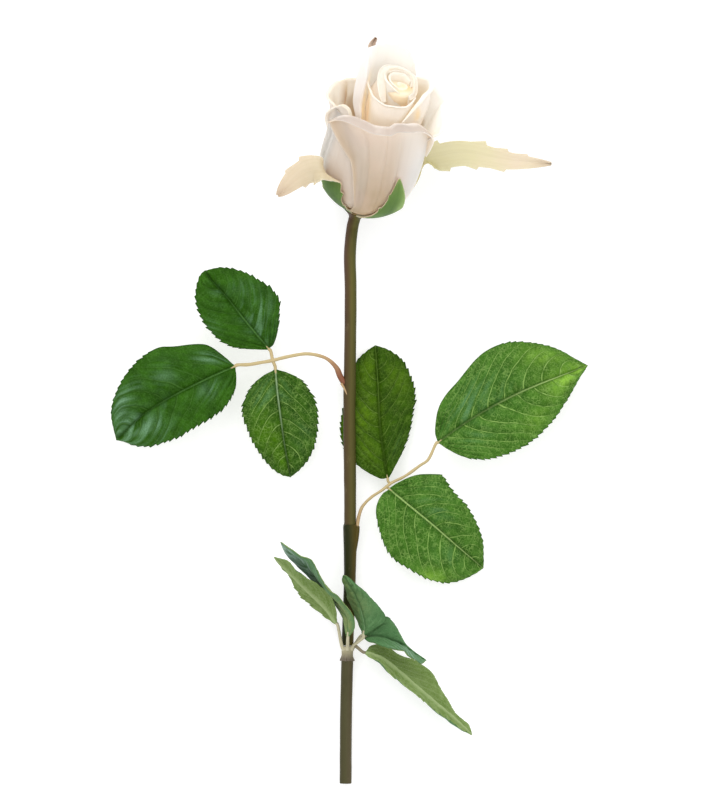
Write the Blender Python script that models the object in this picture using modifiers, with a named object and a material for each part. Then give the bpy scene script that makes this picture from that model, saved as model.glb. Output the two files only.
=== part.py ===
# A cut rose lying on a flat surface: jointed stem, two leaf sprays, a leaf whorl and a bloom.
# Metres, +Z up. The stem runs along +Y from its cut end to the bloom, and rests on z = 0.
import math

import bmesh
import bpy
import numpy as np
from mathutils import Matrix, Vector

MM = 0.001
GAP = 0.35 * MM                 # clearance between pieces that touch

# Stem: the line of its axis, cut end first, and its sections
STEM_RADIUS = 2.5 * MM
STEM_LINE = [
    (-1.6, -156.4, 2.65), (-1.4, -128, 3.9), (-0.9, -105, 4.7), (-0.8, -98.5, 5.0), (0.2, -70, 6.0),
    (0.3, -48, 6.8), (0.3, -30, 7.3), (0.0, 0, 7.9), (0.4, 30, 8.0), (0.5, 52, 8.0), (0.2, 64, 8.1),
    (0.6, 71.5, 8.6),
]
STEM_CUTS = {"lip": -47.8, "hub top": -98.7, "hub bottom": -105.0}   # y of the joints, in mm
TENON_RADIUS = 1.5 * MM
TENON_DEPTH = 9 * MM
SLEEVE_RADIUS = 3.15 * MM
SLEEVE_LENGTH = 20 * MM
SLEEVE_BORE = 2.6 * MM          # radius of its mouth, which takes the thinner end of the upper stem
SLEEVE_DEPTH = 10 * MM
SPIGOT_RADIUS = 2.15 * MM
PIN_RADIUS = 1.4 * MM           # pin of the upper stem in the calyx cup
PIN_LENGTH = 2.6 * MM
HUB_BORE = TENON_RADIUS + GAP
OVERRUN = 1 * MM                # how far a cutter passes the face that it opens
STEP = 0.02 * MM                # length of a shoulder between two radii

# Bloom: its axis leans to the right and rises towards the viewer
BLOOM_BASE = Vector((3.1, 84.3, 11.5)) * MM
BLOOM_LEAN = math.radians(15)
BLOOM_RISE = math.radians(30)
# Profile of the outermost petal layer: height along the axis and radius, from the base up
BOWL = [(1.3, 3.2), (2.9, 7.6), (6.8, 14), (12.8, 19.2), (21.5, 22), (36, 21.4), (50, 21.2), (62, 21.6),
        (74, 22.4)]
LAYER_PITCH = 1.4 * MM
PETAL_THICKNESS = 0.7 * MM
SEPAL_THICKNESS = 0.8 * MM
LEAF_THICKNESS = 0.6 * MM

# Leaflets: base and tip of the midrib, bow of the midrib to the right, half width and shape
# exponents (base, tip) left and right of it, arch of the midrib, lift of the edges, and how far
# the left and the right half of the blade are rolled about the midrib, in degrees
LEAVES = {
    "leaf_left_upper": dict(base=(-34.5, 25.8, 11.2), tip=(-60.2, 58.2, 13), bow=2.4, arch=3, lift=2,
                            left=(15.4, 0.75, 0.6), right=(14.4, 0.55, 0.75), roll=(0, 0)),
    "leaf_left_terminal": dict(base=(-48.6, 18.2, 10.8), tip=(-98.0, -12.8, 0.25), bow=5, arch=5, lift=2.5,
                               left=(17.2, 0.55, 0.7), right=(18.8, 0.5, 0.6), roll=(0, 0)),
    "leaf_left_lower": dict(base=(-31.9, 16.6, 10.4), tip=(-25.0, -28.1, 3.5), bow=1, arch=3, lift=2,
                            left=(15.0, 0.6, 0.72), right=(15.5, 0.5, 0.8), roll=(0, 0)),
    "leaf_right_upper": dict(base=(16.0, -27.6, 6.0), tip=(10.8, 27.5, 1.2), bow=0, arch=0.1, lift=0.3,
                             left=(16.8, 0.45, 0.8), right=(15.4, 0.9, 0.58), roll=(-3, -3)),
    "leaf_right_terminal": dict(base=(37.8, -15.0, 10.2), tip=(99.8, 17.0, 5), bow=-3, arch=6, lift=3,
                                left=(21.4, 0.6, 0.7), right=(20.2, 0.65, 1.0), roll=(0, 0)),
    "leaf_right_lower": dict(base=(17.4, -33.4, 8.4), tip=(56.5, -66.6, 0.25), bow=1, arch=5, lift=2.5,
                             left=(18.9, 0.42, 0.75), right=(21.0, 0.5, 0.65), roll=(0, 0)),
    "leaf_whorl_left": dict(base=(-6.0, -88.6, 10), tip=(-31.6, -61.4, 17), bow=-2, arch=2.5, lift=1,
                            left=(12, 0.5, 0.75), right=(12, 0.5, 0.75), roll=(110, 110)),
    "leaf_whorl_crossing": dict(base=(0.2, -90.2, 13), tip=(-28.8, -55.6, 20), bow=2, arch=-2.8, lift=-1,
                                left=(11.5, 0.5, 0.6), right=(11.5, 0.5, 0.6), roll=(-78, -78)),
    "leaf_whorl_middle": dict(base=(5.4, -92.5, 10.5), tip=(-2.0, -69.8, 17), bow=0, arch=1, lift=0,
                              left=(10, 0.5, 0.5), right=(10, 0.35, 1.2), roll=(80, -15)),
    "leaf_whorl_right": dict(base=(8.0, -94.7, 7.6), tip=(32.2, -104.6, 12), bow=0, arch=0.5, lift=0,
                             left=(8.6, 0.35, 1.2), right=(9, 0.5, 0.6), roll=(12, -82)),
    "leaf_whorl_lower": dict(base=(7.4, -101.4, 9.5), tip=(51.7, -136.6, 11), bow=-2.5, arch=-5.7, lift=1,
                             left=(12, 0.45, 0.75), right=(11.5, 0.45, 0.75), roll=(110, 110)),
}
LEAF_ROWS = 24
LEAF_COLUMNS = 4
LEAF_END = 0.996                # share of the length at which the blade is cut off blunt
LEAF_TOOTH = 0.9 * MM
LEAF_TEETH = (0.04, 0.98)       # stretch of the length with teeth
LEAF_NECK = 0.9 * MM            # half width where the blade meets its stalk

# Stalks of the sprays, from the stem outwards
STALK_RADIUS = 0.6 * MM
STALK_SEAT = 0.5 * MM           # space between the end of a stalk and its leaflet
LEFT_STALK = [(-1.2, 10.9, 8.0), (-3.3, 11.2, 8.4), (-4.1, 13.9, 9.0), (-5.9, 16.8, 9.6), (-9.0, 20.1, 10.2),
              (-13.2, 22.5, 10.6), (-18.6, 23.5, 11.0), (-25.8, 22.6, 11.2), (-32.0, 21.0, 11.2),
              (-40.1, 19.4, 11.1)]
LEFT_FORK = (-32.0, 21.0, 11.2)
RIGHT_STALK = [(3.75, -52.5, 6.7), (3.75, -47.0, 6.9), (5.6, -41.8, 7.4), (8.4, -37.8, 7.8), (12.4, -34.2, 8.2),
               (17.1, -31.0, 8.6), (24.5, -26.4, 9.2), (29.4, -23.8, 9.6), (33.3, -21.0, 9.9)]
RIGHT_FORK = (17.1, -31.0, 8.6)
LEFT_STALK_FOOT = 1.2 * MM      # radius just outside the stem
RIGHT_STALK_FOOT = 0.7 * MM

# Petals: layer counted inwards, direction round the axis and half span in degrees, width of the
# foot as a share of the span and how late it widens, rise of the rim along the profile, drop of
# its corners, and the lip: its length, how far it flares and folds, and where across it does
PETALS = {
    "petal_front": dict(layer=0, facing=68, span=78, foot=0.4, widen=3.2, rise=70, drop=16,
                        lip=16, flare=6, fold=2.5, middle=0, reach=3),
    "petal_back_outer": dict(layer=0, facing=-90, span=58, foot=0.7, widen=1.4, rise=64, drop=14,
                             lip=16, flare=0, fold=0, middle=0, reach=3),
    "petal_left_outer": dict(layer=1, facing=156, span=58, foot=0.7, widen=1.4, rise=54.5, drop=6,
                             lip=9, flare=5, fold=1.5, middle=0.3, reach=0.5),
    "petal_right_outer": dict(layer=1, facing=-12, span=62, foot=0.7, widen=1.4, rise=73, drop=10,
                              lip=16, flare=3.5, fold=1, middle=0, reach=1.1),
    "petal_left_inner": dict(layer=2, facing=190, span=52, foot=0.7, widen=1.4, rise=64, drop=5,
                             lip=9, flare=6, fold=1.5, middle=-0.1, reach=0.7),
    "petal_right_inner": dict(layer=2, facing=26, span=60, foot=0.7, widen=1.4, rise=72, drop=8,
                              lip=16, flare=1.5, fold=0, middle=0, reach=1.1),
    "petal_back_tall": dict(layer=3, facing=-99, span=54, foot=0.9, widen=1.4, rise=80, drop=14,
                            lip=16, flare=-3, fold=0, middle=0, reach=3),
}
PETAL_COLUMNS = 12
PETAL_ROWS = 12

# Heart: one coiled sheet of inner petals on a core, which leans to the right and whose rim is
# lower at the front than at the back
HEART_TURNS = 2.75
HEART_RADII = (1.6 * MM, 10.4 * MM)
HEART_FOOT = 16 * MM
HEART_RIM = 62 * MM
HEART_SLANT = 0.5
HEART_LOBE = 1.5 * MM
HEART_LEAN = 0.06

# Sepals: direction round the axis, the petal layer that it lies on, how far it veers, how far it
# clings to the bowl, the free points that it then follows, and its largest half width with the
# shape exponents of a leaf
SEPALS = [
    dict(root=130, layer=1, veer=0, clings=29, width=(5.7, 0.5, 0.6),
         free=[(-11, 100.5, 41), (-16, 101, 40.5), (-22, 98, 37), (-30, 90.3, 30)]),
    dict(root=50, layer=0, veer=4, clings=39, width=(8.0, 0.35, 0.9), free=[]),
    dict(root=-22, layer=1, veer=0, clings=34, width=(5.6, 0.8, 0.75),
         free=[(37.5, 106.5, 15.5), (49, 108, 15.5), (67.5, 104.8, 18), (84.7, 103.6, 22)]),
    dict(root=-97, layer=0, veer=-24, clings=79.5, width=(5.5, 0.35, 0.8), free=[]),
    dict(root=-150, layer=0, veer=40, clings=44, width=(5.4, 0.35, 0.8), free=[]),
]
SEPAL_ROWS = 20
SEPAL_FOOT = 0.6 * MM
SEPAL_NECK = 0.4 * MM
SEPAL_END = 0.995
SEPAL_TOOTH = 1.6 * MM
SEPAL_TEETH = (0.2, 0.93)
SEPAL_INSET = 8 * MM            # run over which a sepal reaches the layer that it lies on
CUP_LENGTH = 3.6
CUP_PROFILE = [(0, -CUP_LENGTH), (2.7, -CUP_LENGTH), (3.2, -2.4), (4.4, -0.8), (5.8, 0.3), (5.4, 0.9), (0, 0.9)]

ROUND_SIDES = 12


def clear_scene():
    for old in list(bpy.data.objects):
        bpy.data.objects.remove(old, do_unlink=True)


def make_material(name, colour, roughness):
    material = bpy.data.materials.new(name)
    material.use_nodes = True
    shader = material.node_tree.nodes["Principled BSDF"]
    shader.inputs["Base Color"].default_value = (*colour, 1)
    shader.inputs["Roughness"].default_value = roughness
    shader.inputs["Metallic"].default_value = 0
    return material


def add_mesh(name, mesh, material, collection):
    piece = bpy.data.objects.new(name, mesh)
    mesh.materials.clear()
    mesh.materials.append(material)
    collection.objects.link(piece)
    return piece


def apply_modifiers(piece):
    bpy.context.view_layer.update()
    evaluated = piece.evaluated_get(bpy.context.evaluated_depsgraph_get())
    mesh = bpy.data.meshes.new_from_object(evaluated)
    piece.modifiers.clear()
    piece.data = mesh
    return piece


def add_sheet(name, columns, rows, surface, thickness, material, collection):
    """An open grid laid on a surface, split into triangles and given its thickness."""
    grid = bmesh.new()
    bmesh.ops.create_grid(grid, x_segments=columns, y_segments=rows, size=1)
    for vert in grid.verts:
        vert.co = surface(vert.co.x, (vert.co.y + 1) / 2)
    mesh = bpy.data.meshes.new(name)
    grid.to_mesh(mesh)
    grid.free()
    piece = add_mesh(name, mesh, material, collection)
    piece.modifiers.new("Triangles", "TRIANGULATE")
    wall = piece.modifiers.new("Thickness", "SOLIDIFY")
    wall.thickness = thickness
    wall.offset = 0
    return piece


def add_rod(name, points, radii, material, collection, sides=ROUND_SIDES):
    """A round rod along a line of points, with a radius at each."""
    curve = bpy.data.curves.new(name, "CURVE")
    curve.dimensions = "3D"
    curve.bevel_depth = 1
    curve.bevel_resolution = (sides - 4) // 2
    curve.use_fill_caps = True
    spline = curve.splines.new("POLY")
    spline.points.add(len(points) - 1)
    for spot, place, radius in zip(spline.points, points, radii):
        spot.co = (*place, 1)
        spot.radius = radius
    guide = bpy.data.objects.new(name, curve)
    collection.objects.link(guide)
    bpy.context.view_layer.update()
    evaluated = guide.evaluated_get(bpy.context.evaluated_depsgraph_get())
    mesh = bpy.data.meshes.new_from_object(evaluated)
    bpy.data.objects.remove(guide)
    welded = bmesh.new()
    welded.from_mesh(mesh)
    bmesh.ops.remove_doubles(welded, verts=welded.verts, dist=0.00001)
    bmesh.ops.recalc_face_normals(welded, faces=welded.faces)
    welded.to_mesh(mesh)
    welded.free()
    return add_mesh(name, mesh, material, collection)


def combine(piece, others, operation):
    """Join others to a piece, or cut them from it, and drop them."""
    group = bpy.data.collections.new(piece.name + "_group")
    bpy.context.scene.collection.children.link(group)
    for other in others:
        for owner in list(other.users_collection):
            owner.objects.unlink(other)
        group.objects.link(other)
    boolean = piece.modifiers.new("Combine", "BOOLEAN")
    boolean.operation = operation
    boolean.solver = "EXACT"
    boolean.operand_type = "COLLECTION"
    boolean.collection = group
    apply_modifiers(piece)
    for other in others:
        bpy.data.objects.remove(other, do_unlink=True)
    bpy.data.collections.remove(group)
    keep_largest(piece)
    return piece


def keep_largest(piece):
    """Drop the scraps that a join leaves beside the body."""
    body = bmesh.new()
    body.from_mesh(piece.data)
    bmesh.ops.remove_doubles(body, verts=body.verts, dist=0.00002)
    bmesh.ops.dissolve_degenerate(body, edges=body.edges, dist=0.00002)
    bmesh.ops.triangulate(body, faces=body.faces)
    flaps = {}
    for face in body.faces:
        flaps.setdefault(frozenset(face.verts), []).append(face)
    doubled = [face for faces in flaps.values() if len(faces) > 1 for face in faces]
    bmesh.ops.delete(body, geom=doubled, context="FACES")
    left = set(body.faces)
    islands = []
    while left:
        stack = [left.pop()]
        island = []
        while stack:
            face = stack.pop()
            island.append(face)
            for edge in face.edges:
                for near in edge.link_faces:
                    if near in left:
                        left.remove(near)
                        stack.append(near)
        islands.append(island)
    islands.sort(key=len)
    scraps = [face for island in islands[:-1] for face in island]
    bmesh.ops.delete(body, geom=scraps, context="FACES")
    open_edges = [edge for edge in body.edges if edge.is_boundary]
    bmesh.ops.holes_fill(body, edges=open_edges, sides=4)
    bmesh.ops.recalc_face_normals(body, faces=body.faces)
    bmesh.ops.triangulate(body, faces=body.faces)
    body.to_mesh(piece.data)
    body.free()


def trim_to_table(piece, material, collection):
    """Flatten what reaches just below the surface that the rose lies on."""
    side = 100 * MM
    box = bmesh.new()
    bmesh.ops.create_cube(box, size=side)
    mesh = bpy.data.meshes.new("table")
    box.to_mesh(mesh)
    box.free()
    mesh.transform(Matrix.Translation((0, BLOOM_BASE.y, -side / 2)))
    combine(piece, [add_mesh("table", mesh, material, collection)], "DIFFERENCE")


def shade_round(piece):
    piece.data.shade_smooth()
    piece.data.set_sharp_from_angle(angle=math.radians(40))


def smooth_path(points, steps):
    """Points of a Catmull-Rom curve through the given ones."""
    knots = [Vector(p) for p in points]
    knots = [knots[0] * 2 - knots[1]] + knots + [knots[-1] * 2 - knots[-2]]
    path = []
    for before, start, end, after in zip(knots, knots[1:], knots[2:], knots[3:]):
        for step in range(steps):
            t = step / steps
            path.append(0.5 * (2 * start + (end - before) * t
                               + (2 * before - 5 * start + 4 * end - after) * t * t
                               + (3 * start - before - 3 * end + after) * t ** 3))
    path.append(knots[-2])
    return path


BLOOM_AXIS = Vector((math.sin(BLOOM_LEAN) * math.cos(BLOOM_RISE),
                     math.cos(BLOOM_LEAN) * math.cos(BLOOM_RISE), math.sin(BLOOM_RISE)))
NECK = [(BLOOM_BASE - BLOOM_AXIS * back * MM) / MM for back in (7.5, CUP_LENGTH + 0.35)]
STEM_PATH = [p * MM for p in smooth_path(STEM_LINE + NECK, 6)]


def stem_at(y):
    """Point of the stem's axis at a y, and the direction of the axis there."""
    for low, high in zip(STEM_PATH, STEM_PATH[1:]):
        if low.y <= y <= high.y:
            return low.lerp(high, (y - low.y) / (high.y - low.y)), (high - low).normalized()
    raise ValueError("y is past the stem")


def stem_stretch(low, high, spacing=8 * MM):
    """Points of the axis between two y values."""
    count = max(2, round((high - low) / spacing) + 1)
    return [stem_at(low + (high - low) * k / (count - 1))[0] for k in range(count)]


def build_stems(collection, materials):
    lip = STEM_CUTS["lip"] * MM
    hub_top = STEM_CUTS["hub top"] * MM
    hub_bottom = STEM_CUTS["hub bottom"] * MM
    foot = STEM_PATH[0].y
    neck = NECK[0].y * MM

    # Upper section: a thinner end stands in the sleeve, and a pin stands in the calyx cup
    spigot = stem_stretch(lip - SLEEVE_DEPTH + 2 * GAP, lip - GAP)
    body = stem_stretch(lip + 1 * MM, neck) + [STEM_PATH[-1]]
    pin = [STEM_PATH[-1] + BLOOM_AXIS * STEP, STEM_PATH[-1] + BLOOM_AXIS * PIN_LENGTH]
    points = spigot + body + pin
    radii = [SPIGOT_RADIUS] * len(spigot) + [STEM_RADIUS] * len(body) + [PIN_RADIUS] * len(pin)
    upper = add_rod("stem_upper", points, radii, materials["stem"], collection)
    pin_start = Vector(LEFT_STALK[0]) * MM
    pin_side = Vector(LEFT_STALK[1]) * MM
    hole = add_rod("hole", [pin_start + Vector((GAP, 0, 0)), pin_side], [STALK_RADIUS + GAP] * 2,
                   materials["stem"], collection)
    combine(upper, [hole], "DIFFERENCE")

    # Middle section: the sleeve with a side pocket for the right stalk, then plain, then a tenon
    sleeve = stem_stretch(lip - SLEEVE_LENGTH, lip, 5 * MM)
    plain = stem_stretch(hub_top + GAP, lip - SLEEVE_LENGTH - 1 * MM)
    tenon = stem_stretch(hub_bottom - TENON_DEPTH, hub_top + GAP - STEP, 5 * MM)
    points = tenon + plain + sleeve
    radii = [TENON_RADIUS] * len(tenon) + [STEM_RADIUS] * len(plain)
    radii += [STEM_RADIUS + (SLEEVE_RADIUS - STEM_RADIUS) * k / (len(sleeve) - 1) for k in range(len(sleeve))]
    middle = add_rod("stem_middle", points, radii, materials["sleeve"], collection)
    plug_low = Vector(RIGHT_STALK[0]) * MM
    plug_high = Vector(RIGHT_STALK[1]) * MM
    along = (plug_high - plug_low).normalized()
    mouth = plug_high + along * ((lip - plug_high.y) / along.y)
    core = stem_at(lip - SLEEVE_LENGTH * 0.6)[0]
    cheek = add_rod("cheek", [core, plug_low, mouth], [0.8 * MM, 1.35 * MM, 1.45 * MM],
                    materials["sleeve"], collection)
    combine(middle, [cheek], "UNION")
    points = stem_stretch(lip - SLEEVE_DEPTH, lip + OVERRUN, 3 * MM)
    bore = add_rod("bore", points, [SLEEVE_BORE] * len(points), materials["sleeve"], collection)
    pocket = add_rod("pocket", [plug_low - along * GAP, mouth + along * OVERRUN],
                     [STALK_RADIUS + GAP] * 2, materials["sleeve"], collection)
    combine(middle, [bore, pocket], "DIFFERENCE")

    # Lower section: a socket for the tenon, and the cut end
    points = stem_stretch(foot, hub_bottom - GAP)
    lower = add_rod("stem_lower", points, [STEM_RADIUS] * len(points), materials["stem"], collection)
    points = stem_stretch(hub_bottom - TENON_DEPTH - 2 * GAP, hub_bottom + OVERRUN, 5 * MM)
    socket = add_rod("socket", points, [TENON_RADIUS + GAP] * len(points), materials["stem"], collection)
    combine(lower, [socket], "DIFFERENCE")
    for piece in (upper, middle, lower):
        shade_round(piece)


def has_tooth(across, up, rows, spacing, stretch):
    """Whether a point of a blade's outermost column is the tip of a tooth."""
    return abs(across) > 0.99 and stretch[0] < up < stretch[1] and round(up * rows) % spacing == 0


class Leaf:
    """The blade of a leaflet as a surface over u, across, and v, from base to tip."""

    def __init__(self, size):
        self.base = Vector(size["base"]) * MM
        self.tip = Vector(size["tip"]) * MM
        self.size = size
        self.forward = (self.tip - self.base).normalized()
        level = Vector((self.forward.y, -self.forward.x, 0)).normalized()
        upright = level.cross(self.forward)
        rolls = [math.radians(roll) for roll in size["roll"]]
        self.sides = [level * math.cos(roll) - upright * math.sin(roll) for roll in rolls]
        self.normals = [side.cross(self.forward) for side in self.sides]
        self.side = (self.sides[0] + self.sides[1]).normalized()
        self.normal = self.side.cross(self.forward)

    def half_width(self, v, side):
        width, root, point = self.size[side]
        peak = root / (root + point)
        share = v ** root * (1 - v) ** point / (peak ** root * (1 - peak) ** point)
        return LEAF_NECK + (width * MM - LEAF_NECK) * share

    def midrib(self, v):
        hump = 4 * v * (1 - v)
        return (self.base.lerp(self.tip, v) + self.side * self.size["bow"] * MM * hump
                + self.normal * self.size["arch"] * MM * hump)

    def __call__(self, u, v):
        v = min(v, LEAF_END)
        half = self.half_width(v, "left" if u < 0 else "right")
        ahead = 0
        if has_tooth(u, v, LEAF_ROWS, 2, LEAF_TEETH):
            half += LEAF_TOOTH
            ahead = LEAF_TOOTH * 0.7
        spread = abs(u)
        lift = self.size["lift"] * MM * spread * (1.6 - spread) * (4 * v * (1 - v)) ** 0.5
        half_blade = 0 if u < 0 else 1
        return (self.midrib(v) + self.sides[half_blade] * half * u
                + self.normals[half_blade] * lift + self.forward * ahead)


def build_leaves(collection, materials):
    for name, size in LEAVES.items():
        kind = "leaf_light" if "right" in name and "whorl" not in name else "leaf_dark"
        add_sheet(name, LEAF_COLUMNS, LEAF_ROWS, Leaf(size), LEAF_THICKNESS, materials[kind], collection)


def stalk_end(name):
    """Where a stalk stops, a gap short of its leaflet's base, and the point behind it."""
    leaf = Leaf(LEAVES[name])
    way = (leaf.midrib(0.06) - leaf.midrib(0)).normalized()
    end = leaf.base - way * STALK_SEAT
    return end - way * 2 * MM, end


def branch(name, points, radii, material, collection):
    return add_rod(name, points, radii, material, collection, sides=8)


def build_stalk(name, line, fork, leaves, thick, collection, material):
    """A spray's stalk with its three arms; the first leaf sits on the stalk's own end."""
    line = [Vector(p) * MM for p in line]
    line += list(stalk_end(leaves[0]))
    radii = [STALK_RADIUS] * 2 + [thick] + [STALK_RADIUS] * (len(line) - 3)
    stalk = branch(name, line, radii, material, collection)
    arms = []
    for leaf in leaves[1:]:
        start = Vector(fork) * MM
        points = [start, *stalk_end(leaf)]
        arms.append(branch("arm", points, [STALK_RADIUS * 0.9] * 3, material, collection))
    combine(stalk, arms, "UNION")
    shade_round(stalk)
    return stalk


def build_hub(collection, materials):
    top = STEM_CUTS["hub top"] * MM
    bottom = STEM_CUTS["hub bottom"] * MM
    points = stem_stretch(bottom, top, 3 * MM)
    hub = add_rod("whorl_hub", points, [STEM_RADIUS] * len(points), materials["hub"], collection)
    arms = []
    for name in LEAVES:
        if "whorl" not in name:
            continue
        near, end = stalk_end(name)
        root, along = stem_at(top - 1.5 * MM)
        out = end - root
        out -= along * out.dot(along)
        start = root + out.normalized() * (HUB_BORE + 0.45 * MM)
        rise = start + out.normalized() * 1.2 * MM + along * 2 * MM
        arms.append(branch("arm", [start, rise, near, end], [0.7 * MM] * 3 + [0.6 * MM],
                           materials["hub"], collection))
    combine(hub, arms, "UNION")
    points = stem_stretch(bottom - OVERRUN, top + OVERRUN, 4 * MM)
    bore = add_rod("bore", points, [HUB_BORE] * len(points), materials["hub"], collection)
    combine(hub, [bore], "DIFFERENCE")
    shade_round(hub)


class Bowl:
    """The bloom's profile: a smooth curve by length, and a place in the bloom's own frame."""

    def __init__(self):
        self.curve = np.array([tuple(p) for p in smooth_path([(*p, 0) for p in BOWL], 12)])[:, :2] * MM
        steps = np.linalg.norm(np.diff(self.curve, axis=0), axis=1)
        self.length = np.concatenate([[0], np.cumsum(steps)])
        self.axis = BLOOM_AXIS
        self.right = Vector((math.cos(BLOOM_LEAN), -math.sin(BLOOM_LEAN), 0))
        self.front = self.right.cross(self.axis)

    def point(self, run, inward=0):
        """Height and radius at a length along the profile, set inwards from it."""
        height = np.interp(run, self.length, self.curve[:, 0])
        radius = np.interp(run, self.length, self.curve[:, 1])
        step = 1.5 * MM
        rise, spread = (np.interp(run + step, self.length, self.curve[:, axis])
                        - np.interp(run - step, self.length, self.curve[:, axis]) for axis in (0, 1))
        size = math.hypot(rise, spread)
        return height + inward * spread / size, radius - inward * rise / size

    def place(self, height, radius, angle):
        return (BLOOM_BASE + self.axis * height
                + (self.right * math.cos(angle) + self.front * math.sin(angle)) * radius)


def petal_surface(bowl, size):
    def surface(across, up):
        up = up ** 1.25
        foot = size["layer"] * LAYER_PITCH
        rim = (size["rise"] - size["drop"] * abs(across) ** 2.5) * MM
        run = foot + up * (rim - foot)
        span = math.radians(size["span"]) * (size["foot"] + (1 - size["foot"]) * up ** size["widen"])
        angle = math.radians(size["facing"]) + across * span
        height, radius = bowl.point(run, size["layer"] * LAYER_PITCH)
        lip = max(0, 1 - (size["rise"] * MM - run) / (size["lip"] * MM))
        lip *= max(0, 1 - ((across - size["middle"]) / size["reach"]) ** 2)
        radius += size["flare"] * MM * lip ** 2
        height -= size["fold"] * MM * lip ** 3
        return bowl.place(height, radius, angle)
    return surface


def build_petals(bowl, collection, materials):
    for name, size in PETALS.items():
        add_sheet(name, PETAL_COLUMNS, PETAL_ROWS, petal_surface(bowl, size), PETAL_THICKNESS,
                  materials["petal"], collection)


def add_turned(name, profile, bowl, material, collection, sides=16):
    """A solid turned round the bloom's axis from radius and height pairs."""
    outline = bmesh.new()
    verts = [outline.verts.new((radius * MM, 0, height * MM)) for radius, height in profile]
    for start, end in zip(verts, verts[1:]):
        outline.edges.new((start, end))
    mesh = bpy.data.meshes.new(name)
    outline.to_mesh(mesh)
    outline.free()
    piece = add_mesh(name, mesh, material, collection)
    turn = piece.modifiers.new("Turn", "SCREW")
    turn.steps = sides
    turn.render_steps = sides
    turn.use_merge_vertices = True
    turn.merge_threshold = 0.00001
    frame = Matrix((bowl.right, bowl.front, bowl.axis)).transposed().to_4x4()
    frame.translation = BLOOM_BASE
    piece.matrix_world = frame
    apply_modifiers(piece)
    piece.data.transform(frame)
    piece.matrix_world = Matrix.Identity(4)
    tidy = bmesh.new()
    tidy.from_mesh(piece.data)
    bmesh.ops.recalc_face_normals(tidy, faces=tidy.faces)
    tidy.to_mesh(piece.data)
    tidy.free()
    return piece


def sepal_surface(bowl, size):
    clings = size["clings"] * MM
    stand = -(1.3 * GAP + (PETAL_THICKNESS + SEPAL_THICKNESS) / 2)
    root = math.radians(size["root"])
    veer = math.radians(size["veer"])
    width, foot, point = size["width"]
    peak = foot / (foot + point)
    outward = bowl.right * math.cos(root + veer) + bowl.front * math.sin(root + veer)

    def lying(run):
        """Height and radius of the stretch that clings to the petals."""
        return bowl.point(run, stand + size["layer"] * LAYER_PITCH * min(1, run / SEPAL_INSET))

    def clinging(run, turn):
        height, radius = lying(run)
        return bowl.place(height, radius, root + veer * run / clings + turn)

    free = []
    if size["free"]:
        knots = [clinging(clings - 4 * MM, 0) / MM, clinging(clings, 0) / MM, *size["free"]]
        free = [p * MM for p in smooth_path(knots, 6)][6:]
    reach = sum((end - begin).length for begin, end in zip(free, free[1:]))
    total = clings - SEPAL_FOOT + reach

    def beyond(run):
        """Place, direction and facing at a distance along the free stretch."""
        for begin, end in zip(free, free[1:]):
            step = (end - begin).length
            if run <= step or end is free[-1]:
                break
            run -= step
        way = (end - begin).normalized()
        return begin + way * run, way

    def surface(across, up):
        run = SEPAL_FOOT + up * total
        v = min(up, SEPAL_END)
        share = v ** foot * (1 - v) ** point / (peak ** foot * (1 - peak) ** point)
        half = SEPAL_NECK + width * MM * share
        if has_tooth(across, up, SEPAL_ROWS, 4, SEPAL_TEETH):
            half += SEPAL_TOOTH
        if run <= clings + 0.01 * MM:
            radius = lying(run)[1]
            return clinging(run, across * half / max(radius, 4 * MM))
        spot, way = beyond(run - clings)
        turned = min(1, (run - clings) / (0.45 * reach))
        facing = (-outward).lerp(Vector((0, 0, 1)), turned)
        side = way.cross(facing).normalized()
        return spot + side * half * across
    return surface


def build_calyx(bowl, collection, materials):
    cup = add_turned("calyx", CUP_PROFILE, bowl, materials["calyx"], collection)
    sepals = []
    for size in SEPALS:
        sepals.append(apply_modifiers(add_sheet("sepal", 2, SEPAL_ROWS, sepal_surface(bowl, size),
                                                SEPAL_THICKNESS, materials["calyx"], collection)))
    combine(cup, sepals, "UNION")
    head = STEM_PATH[-1]
    bore = add_rod("bore", [head - BLOOM_AXIS * OVERRUN, head + BLOOM_AXIS * (PIN_LENGTH + GAP)],
                   [PIN_RADIUS + GAP] * 2, materials["calyx"], collection)
    combine(cup, [bore], "DIFFERENCE")
    trim_to_table(cup, materials["calyx"], collection)


def build_heart(bowl, collection, materials):
    low, high = HEART_RADII

    def coil(across, up):
        turn = (across + 1) / 2
        angle = turn * HEART_TURNS * 2 * math.pi
        lobes = math.sin(angle * 1.5)
        radius = low + (high - low) * turn
        swell = math.sin(math.pi * (0.15 + 0.55 * up)) ** 0.7
        radius = radius * (0.35 + 0.65 * swell)
        rim = HEART_RIM + HEART_LOBE * lobes - radius * HEART_SLANT * math.sin(angle)
        height = HEART_FOOT + (rim - HEART_FOOT) * up - radius * 0.15
        return bowl.place(height, radius, angle) + bowl.right * HEART_LEAN * (height - HEART_FOOT)

    core = add_turned("bloom_heart", [(0, 1.4), (1.9, 1.4), (1.9, 9.5), (5.5, 14), (8.6, 21), (8, 26), (0, 28)],
                      bowl, materials["petal"], collection)
    sheet = apply_modifiers(add_sheet("coil", 52, 6, coil, PETAL_THICKNESS, materials["petal"], collection))
    combine(core, [sheet], "UNION")


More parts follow.
